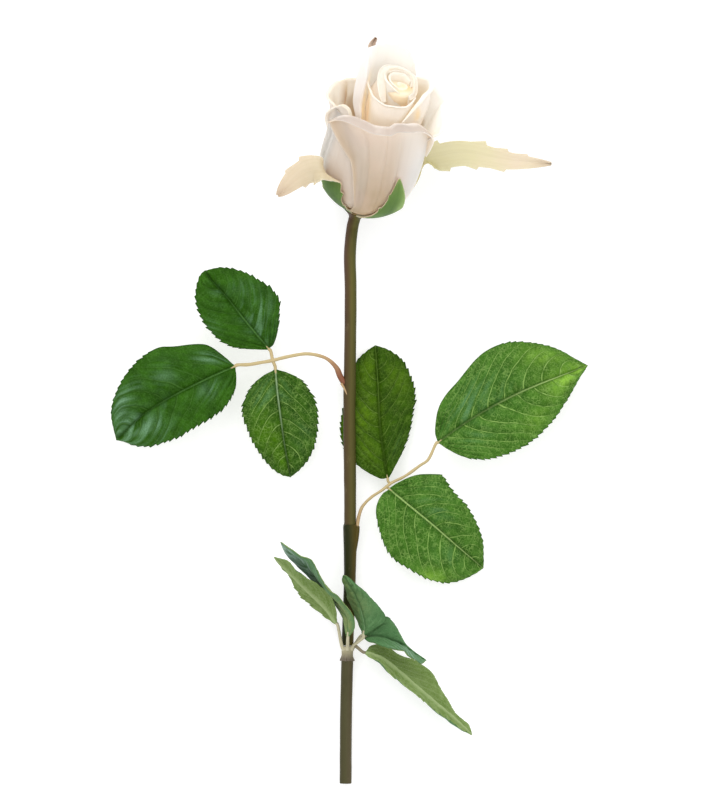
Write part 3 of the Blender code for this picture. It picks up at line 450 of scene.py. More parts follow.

# midrib and both margins from base to tip as places in the photo's frame, heights in mm of the base,
# of the tip and of the arch between, how far the margins stand above the midrib, side veins, relief,
# teeth as (where they start, height) on both sides, patches as (u, v, reach, strength), the sheen
# patches being a painted highlight and the warm ones a tint; flip: seen from below; ribFades: the
# midrib's pale line fades towards the base, or late towards the tip
leaflets = {
    "leaf_left_upper": dict(
        rib=[(268.5, 348.5), (246, 321.5), (227.5, 298), (213, 282), (205, 271)],
        left=[(255, 349.5), (239.5, 348), (229.5, 345.5), (217.5, 338), (207, 326.5), (201, 316.5),
              (197, 305.5), (196, 294), (198, 282), (201, 274.5)],
        right=[(274, 343), (278, 328.5), (279, 314.5), (279.5, 302), (273.5, 291), (265, 284),
               (252.5, 276.5), (236.5, 270), (220.5, 268)],
        height=(11.2, 13, 3), rise=(2.5, 2), veins=6.5, relief=0.5, teeth=((0.14, 1.35), (0.12, 1.3)),
        kind="leafDark",
        paintedSheen=[(0.35, 0.3, 0.2, 0.75), (0.55, 0.62, 0.12, 0.5), (-0.1, 0.75, 0.12, 0.35),
               (0.15, 0.12, 0.07, 0.9), (-0.9, 0.5, 0.1, 0.4)],
        warm=[]),
    "leaf_left_terminal": dict(
        rib=[(234.5, 366.5), (210, 377.5), (175, 395), (145, 413.5), (116.5, 440)],
        left=[(236.5, 379.5), (234.5, 391), (224.5, 407.5), (210, 418.5), (193, 428.5), (180.5, 436),
              (167.5, 441), (153, 445.5), (136.5, 445.5), (124.5, 441.5)],
        right=[(224.5, 357), (211, 347), (200, 344), (174.5, 346.5), (157, 348.5), (139, 360),
               (123.5, 379), (114, 400), (111.5, 413.5), (113.5, 428.5)],
        height=(10.8, 0.35, 5), rise=(2.6, 2.5), veins=6.5, relief=0.62, teeth=((0.12, 1.5), (0.45, 1.0)),
        kind="leafDark",
        paintedSheen=[(0.55, 0.12, 0.09, 0.9), (0.5, 0.45, 0.12, 0.35), (0.6, 0.72, 0.12, 0.5),
               (-0.1, 0.5, 0.08, 0.55), (-0.35, 0.22, 0.1, 0.5), (-0.5, 0.84, 0.18, 1.5),
               (0.1, 0.92, 0.16, 1.6), (0.6, 0.84, 0.14, 1.3)],
        warm=[]),
    "leaf_left_lower": dict(
        rib=[(275.5, 370), (277.5, 392), (280.5, 415.5), (284.5, 444), (290.5, 477)],
        left=[(287.5, 373), (300, 379.5), (311, 392.5), (317, 408.5), (317.5, 424.5), (315, 442.5),
              (309, 457.5), (300, 468.5)],
        right=[(261, 377.5), (250, 389), (244, 402), (243, 413.5), (246, 424.5), (252.5, 440), (260, 453),
               (270.5, 466.5), (281.5, 474.5)],
        height=(10.4, 3.5, 3), rise=(2, 2), veins=7, relief=0.45, teeth=((0.1, 1.4), (0.12, 1.4)),
        kind="leafYellow",
        paintedSheen=[(0.45, 0.2, 0.14, 0.6), (-0.12, 0.2, 0.12, 0.6), (-0.6, 0.6, 0.15, 0.2)],
        warm=[(0.45, 0.62, 0.2, 0.95), (0.3, 0.8, 0.14, 0.8), (0.5, 0.4, 0.12, 0.6)]),
    "leaf_right_upper": dict(
        rib=[(387.5, 477.5), (384, 455), (380, 425), (378, 385), (375.3, 345.5)],
        left=[(380, 478.5), (369, 473), (357, 464.5), (346, 452), (341.5, 438), (340.8, 424), (344, 405),
              (350, 380), (357, 361), (366, 352)],
        right=[(397, 463), (404, 447), (409, 434), (413, 412), (415, 396), (412.5, 382), (404, 363),
               (396, 355), (387, 349.5)],
        height=(6.0, 1.2, 0.1), rise=(0.4, 0.4), veins=8, relief=0.3, teeth=((0.14, 1.2), (0.12, 1.4)),
        ribFades="base", kind="leafDeep", paintedSheen=[(0.6, 0.2, 0.12, 0.3)],
        warm=[(0.6, 0.72, 0.15, 0.6), (-0.5, 0.5, 0.22, 0.9), (-0.45, 0.25, 0.16, 0.8),
              (-0.4, 0.8, 0.16, 0.9)]),
    "leaf_right_terminal": dict(
        rib=[(438.5, 442), (465, 423), (495, 405), (530, 388), (587.5, 365.5)],
        left=[(435, 430), (438, 410), (445, 396), (460, 378.5), (475, 360), (489, 349.5), (503.5, 343.5),
              (520, 342), (541, 344.5), (558, 349.5), (572, 357.5)],
        right=[(449, 449.5), (465, 457), (481, 459), (496, 457), (517, 449.5), (535, 438), (547, 426.5),
               (556, 416), (564, 404), (571, 393), (578, 380)],
        height=(10.2, 5, 6), rise=(3, 3), veins=8.5, relief=0.5, teeth=((0.55, 0.9), (0.12, 1.3)),
        ribFades="base", kind="leafLight",
        paintedSheen=[(-0.35, 0.28, 0.17, 0.8), (-0.15, 0.5, 0.1, 0.5), (0.4, 0.2, 0.1, 0.3)],
        warm=[(0.1, 0.92, 0.18, 1.1), (-0.6, 0.8, 0.12, 0.6), (0.7, 0.6, 0.1, 0.4)]),
    "leaf_right_lower": dict(
        rib=[(389.5, 489), (410, 506), (432, 524), (455, 544), (483, 568)],
        left=[(400, 481.5), (415, 475.5), (429, 474), (442, 475.5), (449, 486), (457, 496), (465, 504),
              (471.5, 514), (477.5, 526), (482, 539), (483.5, 552)],
        right=[(382, 495), (377.5, 503), (376, 512), (378, 523), (382, 538), (388, 551), (397, 561),
               (410, 569), (426, 578), (444, 582.5), (458, 581), (472, 574.5)],
        height=(8.4, 0.35, 5), rise=(2.6, 2.6), veins=8, relief=0.5, teeth=((0.3, 1.4), (0.16, 1.2)),
        ribFades="late", kind="leafLight", paintedSheen=[(-0.4, 0.4, 0.16, 0.5), (0.3, 0.7, 0.12, 0.3)],
        warm=[(0.9, 0.75, 0.1, 0.6)]),
    "leaf_whorl_left": dict(
        rib=[(335.7, 622.5), (325, 608), (310, 593), (293, 576), (274.3, 557)], flip=True,
        left=[(327, 618), (322, 613), (310, 603), (301, 595), (291, 579), (282, 566.5)],
        right=[(336, 614), (334, 605), (329, 593), (321, 586.5), (309, 578), (297.7, 570),
               (286.6, 560.5)],
        height=(10, 17, 0), rise=(-9, 9), veins=7, relief=0.3, teeth=((0.12, 2.6), (0.3, 0.6)),
        kind="leafWhorl", paintedSheen=[], warm=[(-0.6, 0.5, 0.3, 0.8)]),
    "leaf_whorl_crossing": dict(
        rib=[(348, 635.5), (348, 616), (337, 600), (322.5, 583), (307, 565.5), (281, 542)],
        left=[(344, 625), (340, 612), (333, 601.5), (325, 591), (315.5, 581), (305.5, 573),
              (295.5, 562.5), (286, 552.5)],
        right=[(354, 627), (352.4, 616.5), (347, 605), (339, 597), (330, 590), (323.4, 579.5),
               (317, 567.5), (311, 559), (300, 554.5), (290, 547)],
        height=(13, 20, 0), rise=(-8, 8), veins=7, relief=0.25, teeth=((0.12, 0.5), (0.12, 0.5)),
        kind="leafWhorl", paintedSheen=[(0.3, 0.85, 0.28, 1.9), (-0.5, 0.85, 0.28, 1.9)],
        warm=[(0.0, 0.15, 0.3, 1.6)]),
    "leaf_whorl_middle": dict(
        rib=[(363.5, 634), (364, 625), (360, 608), (353, 591), (343.5, 575)],
        left=[(362, 629), (359, 621), (355, 614), (348.5, 601), (345.5, 590), (342.5, 581)],
        right=[(372, 629.5), (380, 625), (385.5, 620), (383.7, 612.5), (375.8, 603.5), (364.7, 591.5),
               (355.8, 583.5), (349, 577)],
        height=(10.5, 17, 0.5), rise=(-7, 1.5), veins=7, relief=0.3, teeth=((0.1, 0.5), (0.4, 0.35)),
        kind="leafWhorl", paintedSheen=[], warm=[(-0.5, 0.6, 0.4, 0.9), (0.05, 0.5, 0.12, 0.5)]),
    "leaf_whorl_right": dict(
        rib=[(364.5, 636), (381, 637), (397, 643), (411, 652), (426, 660)],
        left=[(370, 628), (378, 620.5), (387, 616.5), (395, 625), (401, 636), (405.5, 644),
              (413.8, 651.5), (420, 655.5)],
        right=[(367, 640), (376, 643), (389, 647.5), (398, 649), (405, 652), (414, 658), (421, 662)],
        height=(7.6, 12, 0.5), rise=(-1.0, 6.5), veins=7, relief=0.3, teeth=((0.3, 0.4), (0.2, 0.9)),
        kind="leafWhorl", paintedSheen=[(0.8, 0.75, 0.3, 0.7)], warm=[]),
    "leaf_whorl_lower": dict(
        rib=[(366, 652.5), (383, 658.5), (400, 672), (418, 687.5), (437, 704), (455, 719),
             (471.6, 734.5)],
        flip=True,
        left=[(370, 646.5), (378, 645), (389, 648.5), (398, 654), (413.8, 660.5), (426, 667.5),
              (434, 677), (441, 690.5), (451.7, 706), (460.7, 717), (468, 726)],
        right=[(373.6, 657.5), (383, 664), (391, 673), (405, 684), (418, 693.5), (427, 703), (436, 710),
               (447, 718), (458, 725), (466, 730.5)],
        height=(9.5, 11, 1.5), rise=(-10.3, 9.5), veins=8, relief=0.4, teeth=((0.5, 0.6), (0.1, 3.6)),
        kind="leafWhorl", paintedSheen=[], warm=[(0.55, 0.22, 0.28, 0.95), (0.45, 0.65, 0.2, 0.75)]),
}


def seen(across, down):
    # a place in the photo's frame, on the table in mm
    (middle, level), scale = photoFrame["middle"], photoFrame["scale"]
    return Vector(((across - middle) * scale, (level - down) * scale, 0))


def evenly(path, count):
    # the same line with its points at equal steps
    runs = runsOf(path)
    spots, k = [], 0
    for step in range(count + 1):
        run = runs[-1] * step / count
        while k < len(path) - 2 and runs[k + 1] < run:
            k += 1
        spots.append(path[k].lerp(path[k + 1], clamp((run - runs[k]) / max(runs[k + 1] - runs[k], 1e-6))))
    return spots, runs[-1]


def alongLine(spots, share):
    # a point of a line with equal steps, share from 0 to 1
    k, t = legAt(spots, share)
    return spots[k].lerp(spots[k + 1], t)


class Blade:
    # a leaflet's surface, its veins and its marks

    def __init__(self, size, number):
        self.size = size
        self.number = number
        rib = [seen(*spot) for spot in size["rib"]]
        self.rib, self.length = evenly(smoothPath(rib, 12), blade["ribSteps"])
        self.edges, self.rims = [], []
        for side, margin in ((-1, size["left"]), (1, size["right"])):
            first, last = rib[1] - rib[0], rib[-1] - rib[-2]
            start = rib[0] + Vector((first.y, -first.x, 0)).normalized() * side * blade["neck"]
            end = rib[-1] + Vector((last.y, -last.x, 0)).normalized() * side * blade["point"]
            whole = smoothPath([start, *[seen(*spot) for spot in margin], end], 10)
            line, reach = evenly(whole, blade["marginSteps"])
            self.edges.append(line)
            self.rims.append(reach)
        self.sides = (0, 1)   # where a side's rise and teeth stand in the settings
        if size.get("flip"):   # seen from below: the margins change sides
            self.edges.reverse()
            self.rims.reverse()
            self.sides = (1, 0)
        self.rows = {}

    def ribShare(self, v):
        # the rows of the grid lie closer at both ends of the blade
        return 0.25 * v + 0.75 * (1 - math.cos(math.pi * clamp(v))) / 2

    def hump(self, v):
        return (4 * v * (1 - v)) ** 0.6 if 0 < v < 1 else 0.0

    def midrib(self, v):
        low, high, arch = self.size["height"]
        share = self.ribShare(v)
        height = low + (high - low) * share + arch * 4 * share * (1 - share)
        return alongLine(self.rib, share) + Vector((0, 0, height))

    def margin(self, v, k):
        rise = self.size["rise"][self.sides[k]]
        spot = alongLine(self.edges[k], v)
        spot.z = self.midrib(v).z + rise * self.hump(v)
        return spot

    def row(self, v):
        # rib, margins, directions across, normals and margin directions at one place, kept for reuse
        if v not in self.rows:
            rib = self.midrib(v)
            forward = (self.midrib(v + 0.02) - self.midrib(v - 0.02)).normalized()
            margins = [self.margin(v, k) for k in (0, 1)]
            across = [margin - rib for margin in margins]
            normals = [(-across[0]).cross(forward).normalized(), across[1].cross(forward).normalized()]
            ways = [(self.margin(min(v + 0.01, 1), k) - self.margin(max(v - 0.01, 0), k)).normalized()
                    for k in (0, 1)]
            self.rows[v] = rib, across, normals, (normals[0] + normals[1]).normalized(), ways
        return self.rows[v]

    def phase(self, u, v):
        # side veins run where this is a whole number
        share = self.ribShare(v)
        drift = blade["drift"] * unevenAt(share * 5, self.number * 4.0, 3.0 if u < 0 else 8.0)
        lag = 0.0 if u < 0 else blade["lag"]
        bend = blade["slope"] * abs(u) ** blade["curve"] * (1 - 0.45 * share) + 0.06 * abs(u)
        return (share + drift - bend) * self.size["veins"] + lag + 4

    def tooth(self, v, k):
        # saw teeth that point to the tip: height in mm
        start, tall = self.size["teeth"][self.sides[k]]
        run = self.rims[k] * v
        place = run / blade["toothStep"] + 0.3 * unevenAt(run * 0.21, self.number * 3.7, k)
        saw = place % 1.0
        tall *= 0.72 + 0.6 * unevenAt(math.floor(place) * 0.7, self.number, k + 5.0)
        fade = clamp((v - start) / 0.06) * clamp((0.99 - v) / 0.02)
        return tall * fade * (saw ** 1.4 - 0.3)

    def relief(self, u, v, half):
        # puffed between the veins, sunk at the midrib, in mm
        away = abs((self.phase(u, v) + 0.5) % 1.0 - 0.5)
        inside = clamp((1 - abs(u)) / 0.3) * clamp(abs(u) / 0.12) * clamp(v / 0.12) * clamp((1 - v) / 0.15)
        puff = (1 - (2 * away - 1) ** 2) * self.size["relief"] * blade["swell"] * inside
        spot = Vector((u * half, v * self.length, self.number * 9.0))
        puff *= 0.75 + 0.7 * noise.noise(spot * 0.09 + Vector((5, 0, 0)))
        crease = -blade["crease"] * hill(abs(u) * half, 0, blade["creaseWidth"]) * clamp((1 - v) / 0.15)
        sway = noise.noise(spot * 0.1) * 0.9 * clamp(abs(u) * 1.6) + noise.noise(spot * 0.33) * 0.22
        ruffle = unevenAt(v * 9, self.number * 5.0, u > 0) * 0.8 * abs(u) ** 3
        return (puff + crease + sway + ruffle) * clamp(half / 4)

    def place(self, u, v):
        # the blade's surface, u from one margin to the other and v from the base to the tip
        k = 0 if u < 0 else 1
        spread = abs(u)
        rib, across, normals, upright, ways = self.row(v)
        half = across[k].length
        tooth = self.tooth(v, k) * clamp((spread - 1 + blade["toothBand"]) / blade["toothBand"])
        normal = upright.lerp(normals[k], clamp(spread / 0.3)).normalized()
        bulge = blade["bulge"] * half * 4 * spread * (1 - spread) * self.hump(v)
        spot = (rib + across[k] * spread + normal * (self.relief(u, v, half) + bulge)
                + across[k].normalized() * tooth + ways[k] * max(0.0, tooth) * blade["toothLean"])
        spot.z = max(spot.z, blade["lowest"])
        return spot * mm

    def patch(self, u, v, spots):
        # strength of a painted sheen highlight or of a warm tint, as the patches say: the strongest of its
        # patches, with uneven edges
        total = 0.0
        share = self.ribShare(v)
        for uSpot, vSpot, reach, strength in spots:
            near = math.exp(-(((u - uSpot) / (reach * 2.2)) ** 2 + ((share - vSpot) / reach) ** 2))
            total = max(total, near * strength)
        rough = unevenAt(u * 2.5, v * 5, self.number * 2.0)
        return clamp(total * (0.9 + 0.6 * rough), 0, 2)

    def marks(self):
        def halfAt(u, v):
            return self.row(v)[1][0 if u < 0 else 1].length

        def ribFade(v):
            # where the pale line of the midrib fades: towards the tip, late, or towards the base
            return {"base": 1 - v, "late": v * 0.5}.get(self.size.get("ribFades"), v)
        return [
            ("phase", self.phase),
            ("rim", lambda u, v: (1 - abs(u)) * halfAt(u, v) + 0.12),
            ("ribSide", lambda u, v: abs(u) * halfAt(u, v) + 0.25 * clamp(v * 1.3 - 0.3)),
            ("flatX", lambda u, v: u * halfAt(u, v) * 0.1 + self.number * 7),
            ("flatY", lambda u, v: self.ribShare(v) * self.length * 0.1),
            ("along", lambda u, v: self.ribShare(ribFade(v))),
            ("paintedSheen", lambda u, v: self.patch(u, v, self.size["paintedSheen"])),
            ("warm", lambda u, v: self.patch(u, v, self.size["warm"])),
        ]


def makeLeaflets():
    for number, (node, size) in enumerate(leaflets.items()):
        shape = Blade(size, number)
        leaf = layGrid(node.replace("leaf_", "leaflet_"), blade["columns"], blade["rows"], shape.place,
                       shape.marks())
        light = "right" in node and "whorl" not in node
        thicken(leaf, blade["thickness"], size["kind"], "underLight" if light else "underDark")
        finishPiece(leaf, 60, "leaf_light" if light else "leaf_dark", node)


makeLeaflets()
print("rose: leaflets made")


# line from the cut end to the bloom; swells of the upper section as (y, reach, height); the sleeve's
# lip stands at y of lip, the whorl's collar between hubBottom and hubTop
stem = dict(
    radius=2.5, sides=40, lip=-47.8, hubTop=-98.7, hubBottom=-105.0, sleeveRadius=2.95, sleeveLength=20,
    boreRadius=2.62, boreDepth=2.5, swells=[(9, 5, 0.14), (-20, 14, 0.09)],
    line=[(-1.6, -156.4, 2.65), (-1.4, -128, 3.9), (-0.9, -105, 4.7), (-0.8, -98.5, 5.0), (0.2, -70, 6.0),
          (0.3, -48, 6.8), (0.3, -30, 7.3), (0.0, 0, 7.9), (0.4, 30, 8.0), (0.5, 52, 8.0), (0.2, 64, 8.1),
          (0.6, 71.5, 8.6)])

# pocket for the right stalk on the sleeve's side: it widens by grow over so many points
pocket = dict(radius=0.9, grow=0.28, over=16, lip=1.08, sides=28,
              line=[(1.0, -66, 6.6), (1.6, -61, 6.7), (2.4, -56, 6.9), (3.0, -51.5, 7.0),
                    (3.2, -48.3, 7.1)])

# the bloom's axis leans to the right and rises from the surface, in degrees; bowl is the profile that
# its outer petals lie on, as (height, radius), pitch the step inwards from layer to layer
bloom = dict(base=(3.1, 84.3, 11.5), lean=15, rise=30, pitch=1.4,
             bowl=[(1.3, 3.2), (2.9, 7.6), (6.8, 14), (12.8, 19.2), (21.5, 22), (36, 21.4), (50, 21.2),
                   (62, 21.6), (74, 22.4)])

leanAngle, riseAngle = math.radians(bloom["lean"]), math.radians(bloom["rise"])
bloomAxis = Vector((math.sin(leanAngle) * math.cos(riseAngle), math.cos(leanAngle) * math.cos(riseAngle),
                    math.sin(riseAngle)))
bloomRight = Vector((math.cos(leanAngle), -math.sin(leanAngle), 0))
bloomFront = bloomRight.cross(bloomAxis)
bloomBase = Vector(bloom["base"])
cupLength = 3.6   # how far the calyx reaches down the stem from there
neck = [bloomBase - bloomAxis * back for back in (7.5, cupLength + 0.35)]
stemPath = smoothPath(stem["line"] + [tuple(p) for p in neck], 6)


def stemAt(y):
    # the point of the stem's axis at this place along the rose
    for low, high in zip(stemPath, stemPath[1:]):
        if low.y <= y <= high.y:
            return low.lerp(high, (y - low.y) / (high.y - low.y))
    return stemPath[-1] if y > 0 else stemPath[0]


def addRod(name, points, radii, sides, marks, finish, wobble):
    # a round rod along points: a path curve with a bevel, made a mesh, closed and made uneven by
    # wobble; all in mm
    bpy.ops.object.select_all(action="DESELECT")
    bpy.ops.curve.primitive_nurbs_path_add()
    curve = bpy.context.object.data
    curve.splines.clear()
    curve.dimensions = "3D"
    curve.bevel_depth = 1
    curve.bevel_resolution = (sides - 4) // 2
    curve.use_fill_caps = True
    spline = curve.splines.new("POLY")
    spline.points.add(len(points) - 1)
    for spot, point, radius in zip(spline.points, points, radii):
        spot.co = (*(Vector(point) * mm), 1)
        spot.radius = radius * mm
    bpy.ops.object.convert(target="MESH")
    rod = named(name)
    bpy.ops.object.mode_set(mode="EDIT")
    bpy.ops.mesh.select_all(action="SELECT")
    bpy.ops.mesh.remove_doubles(threshold=mergeReach)
    bpy.ops.mesh.normals_make_consistent(inside=False)
    bpy.ops.object.mode_set(mode="OBJECT")
    for title, rule in marks:
        addMark(rod, title, [rule(v.co / mm) for v in rod.data.vertices])
    pushes = [v.normal * noise.noise(Vector((v.co.x, v.co.y * 0.35, v.co.z)) / mm * 0.45) * wobble * mm
              for v in rod.data.vertices]
    for vert, push in zip(rod.data.vertices, pushes):
        vert.co += push
    rod.data.materials.clear()
    rod.data.materials.append(finishes[finish])
    return rod


def stretchOf(low, high, spacing):
    # points of the stem's axis from low to high, about spacing apart
    count = max(2, round((high - low) / spacing) + 1)
    return [stemAt(low + (high - low) * k / (count - 1)) for k in range(count)]


def aroundMark(point):
    # 0 on the left of the stem and 1 on its right, as seen from above
    axis = stemAt(clamp(point.y, stemPath[0].y, stemPath[-1].y))
    return clamp((point.x - axis.x) / (2 * stem["radius"]) + 0.5)


def makeStem():
    radius, lip = stem["radius"], stem["lip"]
    marks = [("around", aroundMark), ("along", lambda point: clamp((point.y + 50) / 120))]
    # upper section, with a slight swell where the left stalk leaves and a rounded end at the cup
    points = stretchOf(lip - 3, neck[0].y, 1.6) + [stemPath[-1], stemPath[-1] + bloomAxis * 0.7]
    radii = []
    for p in points:
        swell = sum(height * hill(p.y, middle, reach) for middle, reach, height in stem["swells"])
        taper = -0.2 * clamp((lip + 2 - p.y) / 3)
        radii.append(radius + swell + taper)
    upper = addRod("stemUpper", points, radii, stem["sides"], marks, "stem", wobble=0.07)
    finishPiece(upper, 45, "stem", "stem_upper")
    # middle section: plain rod that widens into the sleeve, with a rounded lip
    points = stretchOf(stem["hubTop"] + 0.3, lip, 1.0)
    grows = [clamp((p.y - lip + stem["sleeveLength"]) / stem["sleeveLength"]) for p in points]
    radii = [radius + (stem["sleeveRadius"] - radius) * grow for grow in grows]
    way = (points[-1] - points[-2]).normalized()
    radii[-1] -= 0.12
    inner = [points[-1] + way * step for step in (0.18, 0.2)]
    points += inner + [points[-1] - way * stem["boreDepth"]]
    radii += [stem["sleeveRadius"] - 0.35, stem["boreRadius"], stem["boreRadius"]]
    middle = addRod("stemSleeve", points, radii, stem["sides"], marks, "sleeve", wobble=0.05)
    finishPiece(middle, 45, "sleeve", "stem_middle")
    line = smoothPath(pocket["line"], 6)
    radii = [pocket["radius"] + pocket["grow"] * clamp(k / pocket["over"]) for k in range(len(line) - 1)]
    radii.append(pocket["lip"])
    bag = addRod("sleevePocket", line, radii, pocket["sides"], marks, "sleeve", wobble=0.04)
    finishPiece(bag, 45, "sleeve")
    # lower section with the cut end
    points = stretchOf(stemPath[0].y, stem["hubBottom"] - 0.1, 1.6) + [stemAt(stem["hubBottom"] + 0.5)]
    radii = [radius] * (len(points) - 1) + [radius - 0.5]
    radii[0] = radius - 0.25
    points.insert(1, points[0].lerp(points[1], 0.12))
    radii.insert(1, radius - 0.02)
    lower = addRod("stemLower", points, radii, stem["sides"], marks, "stemLow", wobble=0.06)
    finishPiece(lower, 45, "stem", "stem_lower")


makeStem()
print("rose: stem made")


# line of a stalk, radius, where its side arms leave it, leaves from the terminal one on, radius at the
# foot, the foot's swell as (place, reach), how red the foot is
stalks = {
    "left_stalk": dict(
        line=[(-1.2, 10.9, 8.0), (-2.3, 12.0, 8.4), (-3.9, 14.6, 9.0), (-5.4, 18.1, 9.6),
              (-8.6, 21.4, 10.1), (-12.3, 23.1, 10.5), (-17.6, 24.0, 10.8), (-22.8, 23.4, 11.0),
              (-28.0, 22.3, 11.1), (-32.2, 21.2, 11.1), (-36.8, 20.4, 11.0), (-42.0, 19.5, 10.9)],
        thin=0.72, fork=(-32.2, 21.2, 11.1), foot=1.3, swell=(4.5, 5.5), red=1.0,
        leaves=["leaf_left_terminal", "leaf_left_upper", "leaf_left_lower"]),
    "right_stalk": dict(
        line=[(3.1, -52.5, 6.9), (3.4, -47.6, 7.1), (4.0, -44.0, 7.3), (5.6, -39.9, 7.6),
              (9.2, -36.2, 8.0), (13.6, -33.3, 8.3), (17.6, -30.2, 8.6), (23.4, -27.3, 9.1),
              (29.6, -22.9, 9.6), (33.2, -20.2, 9.9)],
        thin=0.62, fork=(17.2, -30.6, 8.6), foot=0.8, swell=(6, 4), red=0.3,
        leaves=["leaf_right_terminal", "leaf_right_upper", "leaf_right_lower"]),
}
stalkSides = dict(stalk=20, arm=16, spur=14)

# pale spur below the left stalk's foot, thinner to its end
spur = dict(line=[(-3.4, 11.6, 9.4), (-2.2, 9.6, 9.9), (-1.2, 7.4, 10.1), (-0.6, 6.2, 10.2)], radius=0.55,
            shrink=0.42, red=0.35)


def stalkEnd(node):
    # the stalk runs in under the leaf's foot
    shape = Blade(leaflets[node], 0)
    foot = shape.midrib(0)
    way = (shape.midrib(0.12) - foot).normalized()
    return [foot - way * 1.6, foot - way * 0.3 - Vector((0, 0, 0.35)),
            foot + way * 1.6 - Vector((0, 0, 0.8))]


def makeStalks():
    for node, size in stalks.items():
        line = smoothPath(size["line"] + [tuple(p) for p in stalkEnd(size["leaves"][0])], 6)
        start = Vector(size["line"][1])

        def footMark(point):
            return clamp(size["red"] * (1.15 - (point - start).length / 17))

        radii = []
        run = 0.0
        for before, point in zip([line[0]] + line, line):
            run += (point - before).length
            foot = (size["foot"] - size["thin"]) * hill(run, *size["swell"])
            radii.append(size["thin"] + foot + 0.1 * unevenAt(run * 0.3))
        body = addRod(node.replace("_s", "S"), line, radii, stalkSides["stalk"], [("foot", footMark)],
                      "stalk", wobble=0.05)
        finishPiece(body, 60, "stalk", node)
        fork = Vector(size["fork"])
        for leaf in size["leaves"][1:]:
            points = smoothPath([fork, *stalkEnd(leaf)], 5)
            radii = [size["thin"] - 0.08 * k / len(points) for k in range(len(points))]
            arm = addRod("arm_" + leaf[5:], points, radii, stalkSides["arm"], [("foot", footMark)],
                         "stalk", wobble=0.04)
            finishPiece(arm, 60, "stalk")
    line = smoothPath(spur["line"], 4)
    radii = [spur["radius"] - spur["shrink"] * k / (len(line) - 1) for k in range(len(line))]
    pin = addRod("stalkSpur", line, radii, stalkSides["spur"], [("foot", lambda p: spur["red"])],
                 "stalk", wobble=0.03)
    finishPiece(pin, 60, "stalk")


makeStalks()


# collar: radius, bevel, height of its barbs and of its unevenness; petioles: radius, how much thinner
# they end, how red they are
hub = dict(sides=40, radius=2.42, bevel=0.35, barb=0.85, uneven=0.12, petiole=0.78, shrink=0.25, red=0.2,
           redLower=0.75)


def makeHub():
    # collar round the stem joint, with small barbs at its lower rim
    low, high = stem["hubBottom"], stem["hubTop"]
    centre = stemAt((low + high) / 2) * mm
    way = (stemAt(high) - stemAt(low)).normalized()
    bpy.ops.object.select_all(action="DESELECT")
    bpy.ops.mesh.primitive_cylinder_add(vertices=hub["sides"], radius=hub["radius"] * mm,
                                        depth=(high - low) * mm, location=centre)
    collar = bpy.context.object
    collar.name = "whorlCollar"
    collar.rotation_euler = way.to_track_quat("Z", "Y").to_euler()
    bpy.ops.object.transform_apply(location=True, rotation=True, scale=True)
    bpy.ops.object.mode_set(mode="EDIT")
    bpy.ops.mesh.select_all(action="SELECT")
    bpy.ops.mesh.subdivide(number_cuts=1)
    bpy.ops.object.mode_set(mode="OBJECT")
    applyModifier(collar, "BEVEL", width=hub["bevel"] * mm, segments=3, limit_method="ANGLE")
    applyModifier(collar, "SUBSURF", levels=2, render_levels=2)
    axis = stemAt((low + high) / 2)
    for vert in collar.data.vertices:
        spot = vert.co / mm - axis
        along = spot.dot(way)
        out = spot - way * along
        turn = math.atan2(out.z, out.x)
        barb = hub["barb"] * max(0.0, math.sin(turn * 4 + 0.6)) ** 5 * clamp((-along - 0.8) / 1.8)
        vert.co += out.normalized() * (barb + hub["uneven"] * noise.noise(spot * 0.9)) * mm
    addMark(collar, "foot", [clamp(1.1 - (v.co.y / mm - low) / 6.6) for v in collar.data.vertices])
    collar.data.materials.append(finishes["petiole"])
    finishPiece(collar, 50, "hub", "whorl_hub")
    # petioles: each leaves the collar on its leaf's side
    root = stemAt(high - 1.5)
    for node in leaflets:
        if "whorl" not in node:
            continue
        near, end, inside = stalkEnd(node)
        out = end - root
        out -= way * out.dot(way)
        start = root + out.normalized() * 2.0
        rise = start + out.normalized() * 1.2 + way * 2
        line = smoothPath([start, rise, near, end, inside], 6)
        radii = [hub["petiole"] - hub["shrink"] * k / (len(line) - 1) for k in range(len(line))]
        red = hub["redLower" if node == "leaf_whorl_lower" else "red"]
        arm = addRod("petiole_" + node[11:], line, radii, stalkSides["arm"],
                     [("foot", lambda p, r=red: r)], "petiole", wobble=0.05)
        finishPiece(arm, 60, "hub")


makeHub()
print("rose: stalks and hub made")


bowlLine = smoothPath([(*p, 0) for p in bloom["bowl"]], 12)
bowlRuns = runsOf(bowlLine)


def onBowl(run):
    # height and radius at a length along the bloom's profile
    if run <= 0:
        return bowlLine[0].x, bowlLine[0].y
    for low, high, start, end in zip(bowlRuns, bowlRuns[1:], bowlLine, bowlLine[1:]):
        if run <= high:
            share = (run - low) / (high - low)
            return start.x + (end.x - start.x) * share, start.y + (end.y - start.y) * share
    return bowlLine[-1].x, bowlLine[-1].y


def offBowl(run, inward):
    # the same for a profile that lies further in, or further out where inward is below 0
    height, radius = onBowl(run)
    ahead, behind = onBowl(run + 1.5), onBowl(run - 1.5)
    rise, spread = ahead[0] - behind[0], ahead[1] - behind[1]
    size = math.hypot(rise, spread)
    return height + inward * spread / size, radius - inward * rise / size


def inBloom(height, radius, angle):
    # a place by its height on the bloom's axis, its distance from it and its direction
    return (bloomBase + bloomAxis * height
            + (bloomRight * math.cos(angle) + bloomFront * math.sin(angle)) * radius)


def inPicture(p, q, s):
    # p to the right and q along the bloom as the photo shows it, s towards its front, in mm
    return bloomBase + bloomRight * p + bloomFront * s + bloomAxis * ((q + 0.5 * s) / 0.866)


def splineAt(points, share):
    # a point of the smooth line through points, share from 0 to 1
    k, t = legAt(points, share)
    start, end = points[k], points[k + 1]
    before = points[k - 1] if k > 0 else start * 2 - end
    after = points[k + 2] if k + 2 < len(points) else end * 2 - start
    return curvePoint(before, start, end, after, t)
